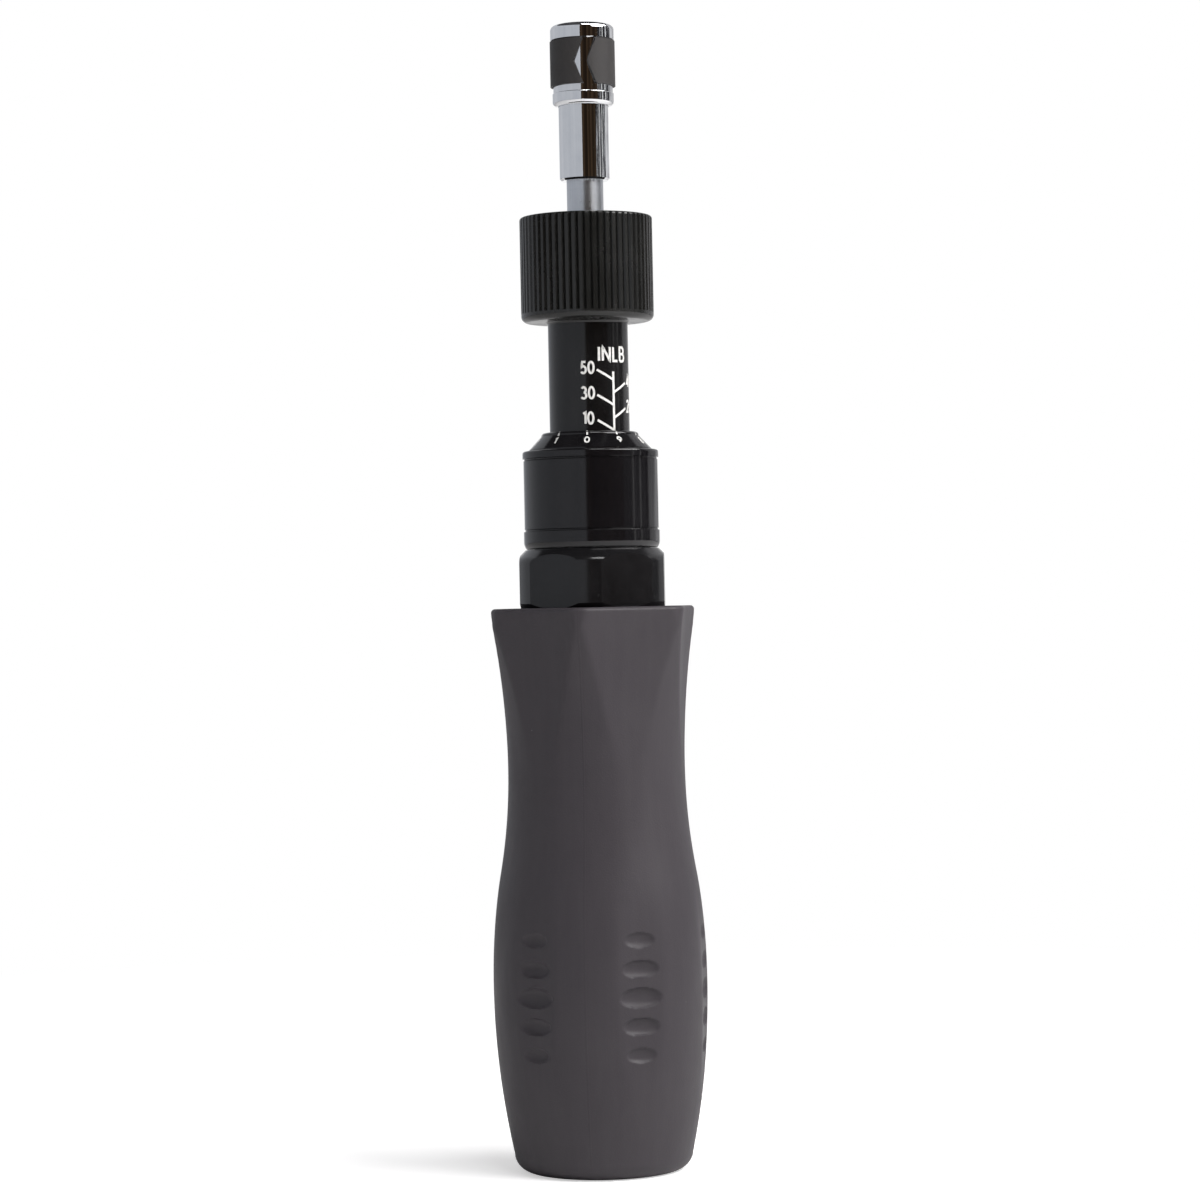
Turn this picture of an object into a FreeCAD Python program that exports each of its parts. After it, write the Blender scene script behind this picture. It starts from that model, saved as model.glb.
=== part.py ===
import FreeCAD, Part
import math
import os
import re
import Sketcher

# Micrometer-adjusted torque screwdriver with a quick-release bit holder.
# Millimetres. The origin is the centre of the flat butt, +Z runs along the axis to the bit end.
# Angles about the axis are counted from -Y towards +X.

# ---------------------------------------------------------------------------- driving sizes

SIZES = {
    # moulded grip
    "grip_length": 112.3,
    "butt_radius": 17.14,
    "butt_round": 3.7,
    "belly_radius": 21.6,
    "belly_height": 38.5,
    "waist_radius": 17.77,
    "waist_height": 80.0,
    "flare_radius": 21.5,
    "band_height": 3.7,
    "rim_round": 0.8,
    "butt_wall": 11.9,
    "waist_flat_depth": 0.22,
    "rim_flat_depth": 2.1,
    "flat_lift": 6.0,
    "run_out_arc": 100.0,
    "run_out_depth": 1.2,
    "belly_flat_depth": 0.6,
    "belly_flat_arc": 233.0,
    "belly_flat_drop": 2.0,
    "dimple_pitch": 5.62,
    "dimple_drop": 2.4,
    "dimple_depth": 0.6,
    "grip_sides": 6,
    # hex body
    "tail_radius": 13.0,
    "hex_length": 11.6,
    "hex_corner_radius": 15.43,
    "hex_flat_radius": 14.35,
    "hex_angle": 6.0,
    "hex_chamfer": 0.9,
    "hex_nose_round": 2.0,
    "hex_nose_slope": 1.5,
    "chamber_radius": 10.0,
    "thread_length": 23.2,
    "cap_depth": 6.9,
    "guide_radius": 11.5,
    "guide_length": 4.0,
    "neck_radius": 10.2,
    "neck_length": 17.6,
    "spigot_radius": 9.4,
    "spigot_length": 4.5,
    # lock ring, its shoes and its spring
    "ring_radius": 13.43,
    "ring_length": 19.6,
    "ring_bead": 0.17,
    "ring_groove": 0.16,
    "low_bead_round": 1.3,
    "low_bead_length": 3.5,
    "high_bead_round": 0.5,
    "high_bead_length": 1.5,
    "land_drop": 5.8,
    "land_length": 2.5,
    "shoe_height": 2.2,
    "shoe_angle": 36.0,
    "shoe_count": 3,
    "lock_wire": 1.0,
    "lock_turns": 3.5,
    # index cone
    "cone_radius": 12.2,
    "cone_edge": 0.6,
    "cone_height": 3.9,
    "lip_radius": 9.75,
    "lip_round": 0.7,
    "hub_radius": 10.6,
    "hub_length": 1.8,
    # end plug and thrust bearing
    "plug_thick": 6.5,
    "pivot_radius": 3.0,
    "spanner_hole_radius": 1.1,
    "race_gap": 0.3,
    "race_thick": 1.0,
    "bearing_pitch_radius": 5.9,
    "bearing_ball_radius": 0.97,
    "bearing_balls": 10,
    "cage_thick": 1.0,
    "cage_edge_gap": 0.5,
    # clutch
    "spindle_radius": 3.65,
    "flange_gap": 0.2,
    "flange_thick": 5.0,
    "detent_count": 12,
    "clutch_balls": 6,
    "clutch_ball_radius": 1.75,
    "clutch_ball_bite": 0.45,
    "clutch_gap": 1.0,
    "plate_gap": 0.4,
    "plate_thick": 6.0,
    "pilot_radius": 5.2,
    "pilot_length": 2.0,
    "key_count": 3,
    "key_radius": 1.5,
    "key_overrun": 2.0,
    # torque spring and the seat that loads it
    "torque_wire": 2.6,
    "torque_coil_radius": 6.75,
    "torque_turns": 10.5,
    "seat_radius": 8.2,
    "seat_thick": 3.0,
    "seat_pilot_length": 3.0,
    "washer_thick": 0.95,
    # barrel and knob
    "barrel_radius": 8.0,
    "collar_radius": 8.94,
    "collar_length": 10.2,
    "low_travel": 1.1,
    "barrel_bore_radius": 4.3,
    "barrel_spigot_radius": 5.6,
    "barrel_spigot_length": 2.0,
    "scale_length": 22.1,
    "root_round": 0.6,
    "knob_radius": 13.26,
    "knob_length": 21.0,
    "knob_low_round": 1.3,
    "knob_top_round": 0.6,
    "rib_count": 60,
    "rib_depth": 0.45,
    "rib_gap": 0.8,
    "rib_lead": 0.4,
    "bush_radius": 5.0,
    "bush_length": 8.0,
    "bush_recess": 0.3,
    # bit holder
    "shaft_show": 7.2,
    "socket_radius": 5.0,
    "socket_nose_radius": 4.5,
    "socket_chamfer": 0.4,
    "socket_depth": 8.0,
    "holder_show": 14.9,
    "shoulder_rise": 5.9,
    "tip_recess": 0.8,
    "hex_across_flats": 6.45,
    "hex_mouth": 0.5,
    "magnet_radius": 2.8,
    "magnet_thick": 2.9,
    "bit_ball_radius": 0.9,
    "bit_ball_rise": 1.2,
    # release sleeve
    "sleeve_length": 16.2,
    "bead_radius": 6.14,
    "bead_length": 2.6,
    "sleeve_neck_radius": 5.96,
    "sleeve_neck_length": 1.3,
    "band_radius": 6.5,
    "band_length": 9.1,
    "band_wall": 0.65,
    "band_gap": 2.7,
    "band_gap_angle": 12.5,
    "chevron_reach": 2.0,
    "chevron_round": 2.4,
    "cap_radius": 6.4,
    "cap_round": 1.05,
    "sleeve_land_length": 2.5,
    "sleeve_wire": 0.5,
    "sleeve_turns": 3.5,
    "ring_clip_radius": 5.15,
    "ring_clip_thick": 0.8,
    "ring_clip_drop": 2.2,
    "clip_groove_depth": 0.3,
    # clearances
    "edge_break": 0.4,
    "press_gap": 0.02,
    "running_gap": 0.06,
    "loose_gap": 0.1,
    "face_gap": 0.05,
}

OVAL_WIDTHS = (5.35, 6.6, 8.2, 6.6, 5.35)
OVAL_HEIGHTS = (2.6, 3.2, 3.7, 3.2, 2.6)
for place, (wide, tall) in enumerate(zip(OVAL_WIDTHS, OVAL_HEIGHTS)):
    SIZES["oval_wide_" + "abcde"[place]] = wide
    SIZES["oval_tall_" + "abcde"[place]] = tall

document = FreeCAD.newDocument("torque_screwdriver")
sheet = document.addObject("Spreadsheet::Sheet", "Sizes")
for row, (alias, value) in enumerate(SIZES.items(), start=1):
    sheet.set("A%d" % row, alias)
    sheet.set("B%d" % row, str(value))
    sheet.setAlias("B%d" % row, alias)
document.recompute()

# ---------------------------------------------------------------------------- heights on the axis
# Each is an expression in the sheet's names, built up from the butt towards the bit end.

GRIP_TOP = "grip_length"
HEX_TOP = "(grip_length + hex_length)"
THREAD_TOP = "(grip_length + cap_depth)"
THREAD_BOTTOM = f"({THREAD_TOP} - thread_length)"
GUIDE_TOP = f"({HEX_TOP} + guide_length)"
NECK_TOP = f"({HEX_TOP} + neck_length)"
SPIGOT_TOP = f"({NECK_TOP} + spigot_length)"

RING_BOTTOM = f"({HEX_TOP} + loose_gap)"
RING_TOP = f"({RING_BOTTOM} + ring_length)"
LAND_BOTTOM = f"({RING_BOTTOM} + land_drop)"
LAND_TOP = f"({LAND_BOTTOM} + land_length)"
SHOE_MIDDLE = f"(({LAND_BOTTOM} + {LAND_TOP}) / 2)"
CONE_BASE = f"({NECK_TOP} + hub_length)"
LIP_TOP = f"({CONE_BASE} + cone_height)"

TAIL_BOTTOM = "(butt_wall + loose_gap)"
PLUG_TOP = f"({TAIL_BOTTOM} + plug_thick)"
LOW_RACE_TOP = f"({PLUG_TOP} + race_thick)"
BEARING_MIDDLE = f"({LOW_RACE_TOP} + bearing_ball_radius + press_gap)"
HIGH_RACE_BOTTOM = f"({BEARING_MIDDLE} + bearing_ball_radius + press_gap)"
FLANGE_BOTTOM = f"({HIGH_RACE_BOTTOM} + race_thick)"
FLANGE_TOP = f"({FLANGE_BOTTOM} + flange_thick)"
CLUTCH_MIDDLE = f"({FLANGE_TOP} - clutch_ball_bite + clutch_ball_radius)"
PLATE_BOTTOM = f"({FLANGE_TOP} + clutch_gap)"
PLATE_TOP = f"({PLATE_BOTTOM} + plate_thick)"
KEY_TOP = f"({PLATE_TOP} + key_overrun)"

COLLAR_TOP = f"({THREAD_TOP} - low_travel)"
COLLAR_BOTTOM = f"({COLLAR_TOP} - collar_length)"
WASHER_TOP = f"({COLLAR_BOTTOM} - face_gap)"
SEAT_TOP = f"({WASHER_TOP} - washer_thick)"
SEAT_BOTTOM = f"({SEAT_TOP} - seat_thick)"
BARREL_BOTTOM = f"({COLLAR_BOTTOM} - barrel_spigot_length)"

KNOB_BOTTOM = f"({LIP_TOP} + scale_length)"
KNOB_TOP = f"({KNOB_BOTTOM} + knob_length)"
BUSH_TOP = f"({KNOB_TOP} - bush_recess)"
BUSH_BOTTOM = f"({BUSH_TOP} - bush_length)"

HOLDER_BOTTOM = f"({KNOB_TOP} + shaft_show)"
SPINDLE_TOP = f"({HOLDER_BOTTOM} + socket_depth)"
MAGNET_TOP = f"({SPINDLE_TOP} + magnet_thick)"
SLEEVE_BOTTOM = f"({HOLDER_BOTTOM} + holder_show)"
SHOULDER = f"({SLEEVE_BOTTOM} + shoulder_rise)"
SLEEVE_TOP = f"({SLEEVE_BOTTOM} + sleeve_length)"
SOCKET_TOP = f"({SLEEVE_TOP} - tip_recess)"
SLEEVE_LAND_BOTTOM = f"({SHOULDER} + loose_gap)"
SLEEVE_LAND_TOP = f"({SLEEVE_LAND_BOTTOM} + sleeve_land_length)"
CLIP_BOTTOM = f"({SOCKET_TOP} - ring_clip_drop)"
CLIP_TOP = f"({CLIP_BOTTOM} + ring_clip_thick)"
BAND_BOTTOM = f"({SLEEVE_BOTTOM} + bead_length + sleeve_neck_length)"
BAND_TOP = f"({BAND_BOTTOM} + band_length)"
BIT_BALL_HEIGHT = f"({SHOULDER} + bit_ball_rise)"

# Radii that follow from a mating piece.
SPINDLE_HOLE = "(spindle_radius + running_gap)"
BARREL_HOLE = "(barrel_radius + running_gap)"
THREAD_HOLE = "(collar_radius + running_gap)"
KEY_INSIDE = "(chamber_radius - key_radius)"
RACE_RADIUS = f"({KEY_INSIDE} - race_gap)"
FLANGE_RADIUS = f"({KEY_INSIDE} - flange_gap)"
PLATE_RADIUS = "(chamber_radius - plate_gap)"
RING_BORE = "(cone_radius + loose_gap)"
LAND_RADIUS = "(neck_radius + loose_gap)"
SLEEVE_BORE = "(socket_radius + running_gap)"
SLEEVE_SPRING_BORE = "(ring_clip_radius + loose_gap)"

# ---------------------------------------------------------------------------- sheet and features


def bound(text):
    """An expression with each size's name pointed at the sheet."""
    return re.sub(r"[a-z_]+", lambda word: "Sizes." + word.group() if word.group() in SIZES else word.group(), text)


def size(text):
    """The value of an expression in the sheet's names."""
    return float(sheet.evalExpression(text))


def new_body(label, turned_by="0"):
    """A sub-part, whose whole body may be turned about the axis."""
    body = document.addObject("PartDesign::Body", label)
    body.Label = label
    body.AllowCompound = True
    body.Placement = FreeCAD.Placement(
        FreeCAD.Vector(0, 0, 0), FreeCAD.Rotation(FreeCAD.Vector(0, 0, 1), size(turned_by)))
    return body


def origin_part(body, role):
    """One of the body's own origin planes or axes."""
    return next(feature for feature in body.Origin.OriginFeatures if feature.Role == role)


def new_sketch(body, name, role, lift="0"):
    """A sketch on an origin plane, lifted off it along its normal."""
    sketch = body.newObject("Sketcher::SketchObject", name)
    sketch.AttachmentSupport = [(origin_part(body, role), "")]
    sketch.MapMode = "FlatFace"
    sketch.setExpression("AttachmentOffset.Base.z", bound(lift))
    return sketch


def pin(sketch, curve, end, across, up):
    """Tie a point of the sketch to two expressions."""
    for kind, text, axis in (("DistanceX", across, -2), ("DistanceY", up, -1)):
        value = size(text)
        if abs(value) < 1e-9:
            sketch.addConstraint(Sketcher.Constraint("PointOnObject", curve, end, axis))
        elif value > 0:
            row = sketch.addConstraint(Sketcher.Constraint(kind, -1, 1, curve, end, value))
            sketch.setExpression("Constraints[%d]" % row, bound(text))
        else:
            row = sketch.addConstraint(Sketcher.Constraint(kind, curve, end, -1, 1, -value))
            sketch.setExpression("Constraints[%d]" % row, bound("-(%s)" % text))


def outline(sketch, points):
    """Draw a closed outline through points of two expressions, across and up.

    A third expression makes the stretch that leads to the point an arc of that radius. It turns left,
    or right where the expression starts with a minus sign.
    """
    places = [FreeCAD.Vector(size(point[0]), size(point[1]), 0) for point in points]
    ends = []
    for place, point in enumerate(points):
        start = places[place - 1]
        end = places[place]
        if len(point) == 2:
            curve = sketch.addGeometry(Part.LineSegment(start, end))
            ends.append((curve, 1, 2))
            continue
        radius = size(point[2].lstrip("-"))
        left = not point[2].startswith("-")
        chord = end - start
        half = chord.Length / 2
        sagitta = radius - math.sqrt(max(radius * radius - half * half, 0))
        side = FreeCAD.Vector(chord.y, -chord.x, 0).normalize() * (sagitta if left else -sagitta)
        middle = (start + end) * 0.5 + side
        if left:
            curve = sketch.addGeometry(Part.Arc(start, middle, end))
            ends.append((curve, 1, 2))
        else:
            curve = sketch.addGeometry(Part.Arc(end, middle, start))
            ends.append((curve, 2, 1))
        row = sketch.addConstraint(Sketcher.Constraint("Radius", curve, radius))
        sketch.setExpression("Constraints[%d]" % row, bound(point[2].lstrip("-")))
    for place, (curve, start_end, far_end) in enumerate(ends):
        following = ends[(place + 1) % len(ends)]
        sketch.addConstraint(Sketcher.Constraint("Coincident", curve, far_end, following[0], following[1]))
        pin(sketch, curve, far_end, points[place][0], points[place][1])


def circle(sketch, across, up, radius):
    """Draw a circle from expressions."""
    centre = FreeCAD.Vector(size(across), size(up), 0)
    curve = sketch.addGeometry(Part.Circle(centre, FreeCAD.Vector(0, 0, 1), size(radius)))
    pin(sketch, curve, 3, across, up)
    row = sketch.addConstraint(Sketcher.Constraint("Radius", curve, size(radius)))
    sketch.setExpression("Constraints[%d]" % row, bound(radius))


def oval(sketch, up, wide, tall):
    """Draw an ellipse on the sketch's upright axis, level with a height."""
    centre = FreeCAD.Vector(0, size(up), 0)
    side = centre + FreeCAD.Vector(size(wide) / 2, 0, 0)
    top = centre + FreeCAD.Vector(0, size(tall) / 2, 0)
    curve = sketch.addGeometry(Part.Ellipse(side, top, centre))
    sketch.exposeInternalGeometry(curve)
    sketch.addConstraint(Sketcher.Constraint("Horizontal", curve + 1))
    for line, text in ((curve + 1, wide), (curve + 2, tall)):
        row = sketch.addConstraint(Sketcher.Constraint("Distance", line, size(text)))
        sketch.setExpression("Constraints[%d]" % row, bound(text))
    pin(sketch, curve, 3, "0", up)


def turn(body, name, points, kind="PartDesign::Revolution", angle="360"):
    """Turn an outline of radius and height about the axis, as metal or as a groove."""
    sketch = new_sketch(body, name + "_outline", "XZ_Plane")
    outline(sketch, points)
    feature = body.newObject(kind, name)
    feature.Profile = sketch
    feature.ReferenceAxis = (sketch, ["V_Axis"])
    if angle == "360":
        feature.Angle = 360
    else:
        feature.Midplane = True
        feature.setExpression("Angle", bound(angle))
    body.Tip = feature
    return feature


def groove(body, name, points, angle="360"):
    """Cut an outline of radius and height round the axis."""
    return turn(body, name, points, "PartDesign::Groove", angle)


def cut(body, name, sketch, length, both_ways=False, away=False):
    """Cut a sketch's area away, against the sketch's normal unless told to go along it."""
    feature = body.newObject("PartDesign::Pocket", name)
    feature.Profile = sketch
    feature.setExpression("Length", bound(length))
    feature.Midplane = both_ways
    feature.Reversed = away
    body.Tip = feature
    return feature


def around(body, feature, count):
    """Repeat a feature round the axis."""
    document.recompute()
    pattern = body.newObject("PartDesign::PolarPattern", feature.Name + "_pattern")
    pattern.Originals = [feature]
    pattern.Axis = (origin_part(body, "Z_Axis"), [""])
    pattern.Angle = 360
    pattern.setExpression("Occurrences", bound(count))
    body.Tip = pattern
    return pattern


def rounded(body, name, radius, wanted):
    """Round the edges of the body that a test picks out."""
    document.recompute()
    base = body.Tip
    names = ["Edge%d" % number for number, edge in enumerate(base.Shape.Edges, start=1) if wanted(edge)]
    feature = body.newObject("PartDesign::Fillet", name)
    feature.Base = (base, names)
    feature.setExpression("Radius", bound(radius))
    body.Tip = feature
    return feature


def sphere(body, name, kind, radius, from_axis, height):
    """A ball of metal, or a spherical hollow, at a distance from the axis."""
    feature = body.newObject(kind, name)
    feature.AttachmentSupport = [(origin_part(body, "XY_Plane"), "")]
    feature.MapMode = "FlatFace"
    feature.setExpression("Radius", bound(radius))
    feature.setExpression("AttachmentOffset.Base.x", bound(from_axis))
    feature.setExpression("AttachmentOffset.Base.z", bound(height))
    body.Tip = feature
    return feature


def ball_ring(label, radius, pitch_radius, height, count, turned_by="0"):
    """Loose balls spaced round the axis, as one sub-part."""
    body = new_body(label, turned_by)
    ball = sphere(body, label + "_ball", "PartDesign::AdditiveSphere", radius, pitch_radius, height)
    if size(count) > 1:
        around(body, ball, count)
    return body


def is_level(edge, height):
    """Whether an edge lies flat at a height."""
    return abs(edge.BoundBox.ZMin - height) < 1e-4 and abs(edge.BoundBox.ZMax - height) < 1e-4


def reach(edge):
    """How far an edge's middle lies from the axis."""
    middle = edge.valueAt((edge.FirstParameter + edge.LastParameter) / 2)
    return math.hypot(middle.x, middle.y)


def ring(label, inner, outer, bottom, top):
    """A plain turned ring."""
    body = new_body(label)
    turn(body, label + "_form", [(inner, bottom), (outer, bottom), (outer, top), (inner, top)])
    return body


def coil_spring(label, wire, coil_radius, bottom, top, turns):
    """A compression spring with closed ends, of flat-sided wire lofted through its sections."""
    wire_radius = size(wire) / 2
    low = size(bottom) + wire_radius
    high = size(top) - wire_radius
    total = size(turns)
    closed_rise = 2 * wire_radius
    steps_a_turn = 14
    sides = 8
    sections = []
    for step in range(int(total * steps_a_turn) + 1):
        turned = step / steps_a_turn
        if turned < 1:
            height = low + closed_rise * turned
        elif turned > total - 1:
            height = high - closed_rise * (total - turned)
        else:
            share = (turned - 1) / (total - 2)
            height = low + closed_rise + (high - low - 2 * closed_rise) * share
        angle = 2 * math.pi * turned
        outward = FreeCAD.Vector(math.cos(angle), math.sin(angle), 0)
        corners = []
        for side in range(sides):
            tilt = 2 * math.pi * (side + 0.5) / sides
            reach = size(coil_radius) + wire_radius * math.cos(tilt)
            corners.append(outward * reach + FreeCAD.Vector(0, 0, height + wire_radius * math.sin(tilt)))
        sections.append(Part.makePolygon(corners + corners[:1]))
    spring = document.addObject("Part::Feature", label)
    spring.Label = label
    spring.Shape = Part.makeLoft(sections, True, True)
    spring.Placement = FreeCAD.Placement()
    return spring


# ---------------------------------------------------------------------------- handle pieces


def make_grip():
    """The moulded grip: a turned form with six flats on its flare and six rows of ovals on its belly."""
    body = new_body("grip")
    rise = "(waist_height - belly_height)"
    fall = "(belly_radius - waist_radius)"
    inflection_arc = f"(({rise} ^ 2 + {fall} ^ 2) / (4 * {fall}))"
    low_fall = "(belly_radius - butt_radius)"
    low_arc = f"((belly_height ^ 2 + {low_fall} ^ 2) / (2 * {low_fall}))"
    band_bottom = "(grip_length - band_height)"
    flare_rise = f"({band_bottom} - waist_height)"
    flare_out = "(flare_radius - waist_radius)"
    flare_arc = f"(({flare_rise} ^ 2 + {flare_out} ^ 2) / (2 * {flare_out}))"
    socket = "(tail_radius + press_gap)"
    turn(body, "grip_form", [
        ("0", "0"),
        ("butt_radius", "0"),
        ("belly_radius", "belly_height", low_arc),
        ("(belly_radius + waist_radius) / 2", "(belly_height + waist_height) / 2", inflection_arc),
        ("waist_radius", "waist_height", "-" + inflection_arc),
        ("flare_radius", band_bottom, "-" + flare_arc),
        ("flare_radius", "grip_length"),
        (socket, "grip_length"),
        (socket, "butt_wall"),
        ("0", "butt_wall"),
    ])

    flat_low = "(waist_height + flat_lift)"
    flat_low_radius = "(waist_radius - waist_flat_depth)"
    flat_top_radius = "(flare_radius - rim_flat_depth)"
    flat_rise = f"(grip_length - {flat_low})"
    flat_out = f"({flat_top_radius} - {flat_low_radius})"
    flat_arc = f"(({flat_rise} ^ 2 + {flat_out} ^ 2) / (2 * {flat_out}))"
    run_out_low = f"({flat_low} - sqrt(2 * run_out_arc * run_out_depth - run_out_depth ^ 2))"
    beyond = "(flare_radius + run_out_depth)"
    sketch = new_sketch(body, "flare_flat_outline", "XZ_Plane")
    outline(sketch, [
        (flat_top_radius, GRIP_TOP),
        (flat_low_radius, flat_low, flat_arc),
        (f"{flat_low_radius} + run_out_depth", run_out_low, "run_out_arc"),
        (beyond, run_out_low),
        (beyond, GRIP_TOP),
    ])
    flare_flat = cut(body, "flare_flat", sketch, "2 * flare_radius", both_ways=True)
    around(body, flare_flat, "grip_sides")

    middle = "(belly_height - belly_flat_drop)"
    flat_radius = "(belly_radius - belly_flat_depth)"
    span = f"({middle} * 0.7)"
    end_radius = f"({flat_radius} - belly_flat_arc + sqrt(belly_flat_arc ^ 2 - {span} ^ 2))"
    beyond = "(belly_radius + belly_flat_depth)"
    sketch = new_sketch(body, "belly_flat_outline", "XZ_Plane")
    outline(sketch, [
        (beyond, f"{middle} + {span}"),
        (end_radius, f"{middle} + {span}"),
        (end_radius, f"{middle} - {span}", "-belly_flat_arc"),
        (beyond, f"{middle} - {span}"),
    ])
    belly_flat = cut(body, "belly_flat", sketch, "2 * belly_radius", both_ways=True)
    around(body, belly_flat, "grip_sides")

    sketch = new_sketch(body, "oval_outlines", "YZ_Plane", f"{flat_radius} - dimple_depth")
    for place, letter in enumerate("abcde"):
        up = f"belly_height - dimple_drop + {2 - place} * dimple_pitch"
        oval(sketch, up, "oval_wide_" + letter, "oval_tall_" + letter)
    ovals = cut(body, "ovals", sketch, "belly_radius", away=True)
    around(body, ovals, "grip_sides")

    butt = size("butt_radius")
    rounded(body, "butt_rounding", "butt_round", lambda edge: is_level(edge, 0) and reach(edge) > butt - 0.1)
    top = size(GRIP_TOP)
    inside = size(socket) + 0.5
    rounded(body, "rim_rounding", "rim_round", lambda edge: is_level(edge, top) and reach(edge) > inside)
    return body


def make_housing():
    """The turned body: a hex over a long tail that holds the mechanism, and a neck for the lock ring."""
    body = new_body("housing", "hex_angle")
    nose_out = "(hex_nose_round * (1 - cos(45)))"
    nose_up = "(hex_nose_round * sin(45))"
    nose_low = f"({HEX_TOP} - hex_nose_slope - {nose_up})"
    turn(body, "housing_form", [
        ("chamber_radius", TAIL_BOTTOM),
        ("tail_radius - edge_break", TAIL_BOTTOM),
        ("tail_radius", f"{TAIL_BOTTOM} + edge_break"),
        ("tail_radius", GRIP_TOP),
        ("hex_corner_radius - hex_chamfer", GRIP_TOP),
        ("hex_corner_radius", f"{GRIP_TOP} + hex_chamfer"),
        ("hex_corner_radius", nose_low),
        (f"hex_corner_radius - {nose_out}", f"{nose_low} + {nose_up}", "hex_nose_round"),
        (f"hex_corner_radius - {nose_out} - hex_nose_slope", HEX_TOP),
        ("guide_radius", HEX_TOP),
        ("guide_radius", GUIDE_TOP),
        ("neck_radius", GUIDE_TOP),
        ("neck_radius", NECK_TOP),
        ("spigot_radius", NECK_TOP),
        ("spigot_radius", SPIGOT_TOP),
        (BARREL_HOLE, SPIGOT_TOP),
        (BARREL_HOLE, THREAD_TOP),
        (THREAD_HOLE, THREAD_TOP),
        (THREAD_HOLE, THREAD_BOTTOM),
        ("chamber_radius", THREAD_BOTTOM),
    ])
    sketch = new_sketch(body, "hex_flat_outline", "XZ_Plane")
    outline(sketch, [
        ("hex_flat_radius", GRIP_TOP),
        ("hex_corner_radius + 2", GRIP_TOP),
        ("hex_corner_radius + 2", HEX_TOP),
        ("hex_flat_radius", HEX_TOP),
    ])
    flat = cut(body, "hex_flat", sketch, "2 * hex_corner_radius", both_ways=True)
    around(body, flat, "6")

    sketch = new_sketch(body, "key_slot_outline", "XY_Plane", TAIL_BOTTOM)
    circle(sketch, "chamber_radius", "0", "key_radius + press_gap")
    slot = cut(body, "key_slot", sketch, f"{KEY_TOP} - {TAIL_BOTTOM} + loose_gap", away=True)
    around(body, slot, "key_count")

    window_low = f"{SHOE_MIDDLE} - shoe_height / 2 - face_gap"
    window_high = f"{SHOE_MIDDLE} + shoe_height / 2 + face_gap"
    window = groove(body, "shoe_window", [
        ("barrel_radius", window_low),
        ("neck_radius + 1", window_low),
        ("neck_radius + 1", window_high),
        ("barrel_radius", window_high),
    ], "shoe_angle + 1")
    around(body, window, "shoe_count")
    return body


def make_index_cone():
    """The fixed cone that carries the numbers round the barrel, on a hub over the housing's spigot."""
    body = new_body("index_cone")
    turn(body, "cone_form", [
        ("spigot_radius + press_gap", NECK_TOP),
        ("hub_radius", NECK_TOP),
        ("hub_radius", CONE_BASE),
        ("cone_radius", CONE_BASE),
        ("cone_radius", f"{CONE_BASE} + cone_edge"),
        ("lip_radius", f"{LIP_TOP} - lip_round"),
        ("lip_radius - lip_round", LIP_TOP, "lip_round"),
        (BARREL_HOLE, LIP_TOP),
        (BARREL_HOLE, f"{SPIGOT_TOP} + face_gap"),
        ("spigot_radius + press_gap", f"{SPIGOT_TOP} + face_gap"),
    ])
    return body


def make_lock_shoes():
    """Brass shoes that the lock ring holds on the barrel through windows in the neck."""
    body = new_body("lock_shoes", "hex_angle")
    inner = "(barrel_radius + face_gap)"
    outer = f"({LAND_RADIUS} - face_gap)"
    shoe = turn(body, "shoe", [
        (inner, f"{SHOE_MIDDLE} - shoe_height / 2"),
        (outer, f"{SHOE_MIDDLE} - shoe_height / 2"),
        (outer, f"{SHOE_MIDDLE} + shoe_height / 2"),
        (inner, f"{SHOE_MIDDLE} + shoe_height / 2"),
    ], angle="shoe_angle")
    around(body, shoe, "shoe_count")
    return body


def make_end_plug():
    """The threaded plug that closes the housing and carries the spindle's pivot."""
    body = new_body("end_plug")
    turn(body, "plug_form", [
        ("pivot_radius + running_gap", TAIL_BOTTOM),
        ("chamber_radius - press_gap - edge_break", TAIL_BOTTOM),
        ("chamber_radius - press_gap", f"{TAIL_BOTTOM} + edge_break"),
        ("chamber_radius - press_gap", PLUG_TOP),
        ("pivot_radius + running_gap", PLUG_TOP),
    ])
    sketch = new_sketch(body, "spanner_hole_outline", "XY_Plane", TAIL_BOTTOM)
    circle(sketch, "(pivot_radius + chamber_radius) / 2", "0", "spanner_hole_radius")
    hole = cut(body, "spanner_hole", sketch, "plug_thick / 2", away=True)
    around(body, hole, "2")
    return body


def make_thrust_cage():
    """The flat cage that spaces the bearing balls."""
    body = new_body("thrust_cage")
    low = f"{BEARING_MIDDLE} - cage_thick / 2"
    high = f"{BEARING_MIDDLE} + cage_thick / 2"
    turn(body, "cage_form", [
        ("pivot_radius + cage_edge_gap", low),
        (f"{RACE_RADIUS} - cage_edge_gap", low),
        (f"{RACE_RADIUS} - cage_edge_gap", high),
        ("pivot_radius + cage_edge_gap", high),
    ])
    sketch = new_sketch(body, "pocket_outline", "XY_Plane", low)
    circle(sketch, "bearing_pitch_radius", "0", "bearing_ball_radius + running_gap")
    pocket = cut(body, "pocket", sketch, "cage_thick", away=True)
    around(body, pocket, "bearing_balls")
    return body


def make_drive_pins():
    """Pins that key the pressure plate to the housing while letting it rise."""
    body = new_body("drive_pins", "hex_angle")
    sketch = new_sketch(body, "pin_outline", "XY_Plane", PLUG_TOP)
    circle(sketch, "chamber_radius", "0", "key_radius")
    drive_pin = body.newObject("PartDesign::Pad", "drive_pin")
    drive_pin.Profile = sketch
    drive_pin.setExpression("Length", bound(f"{KEY_TOP} - {PLUG_TOP}"))
    body.Tip = drive_pin
    around(body, drive_pin, "key_count")
    return body


# ---------------------------------------------------------------------------- lock ring


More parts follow.
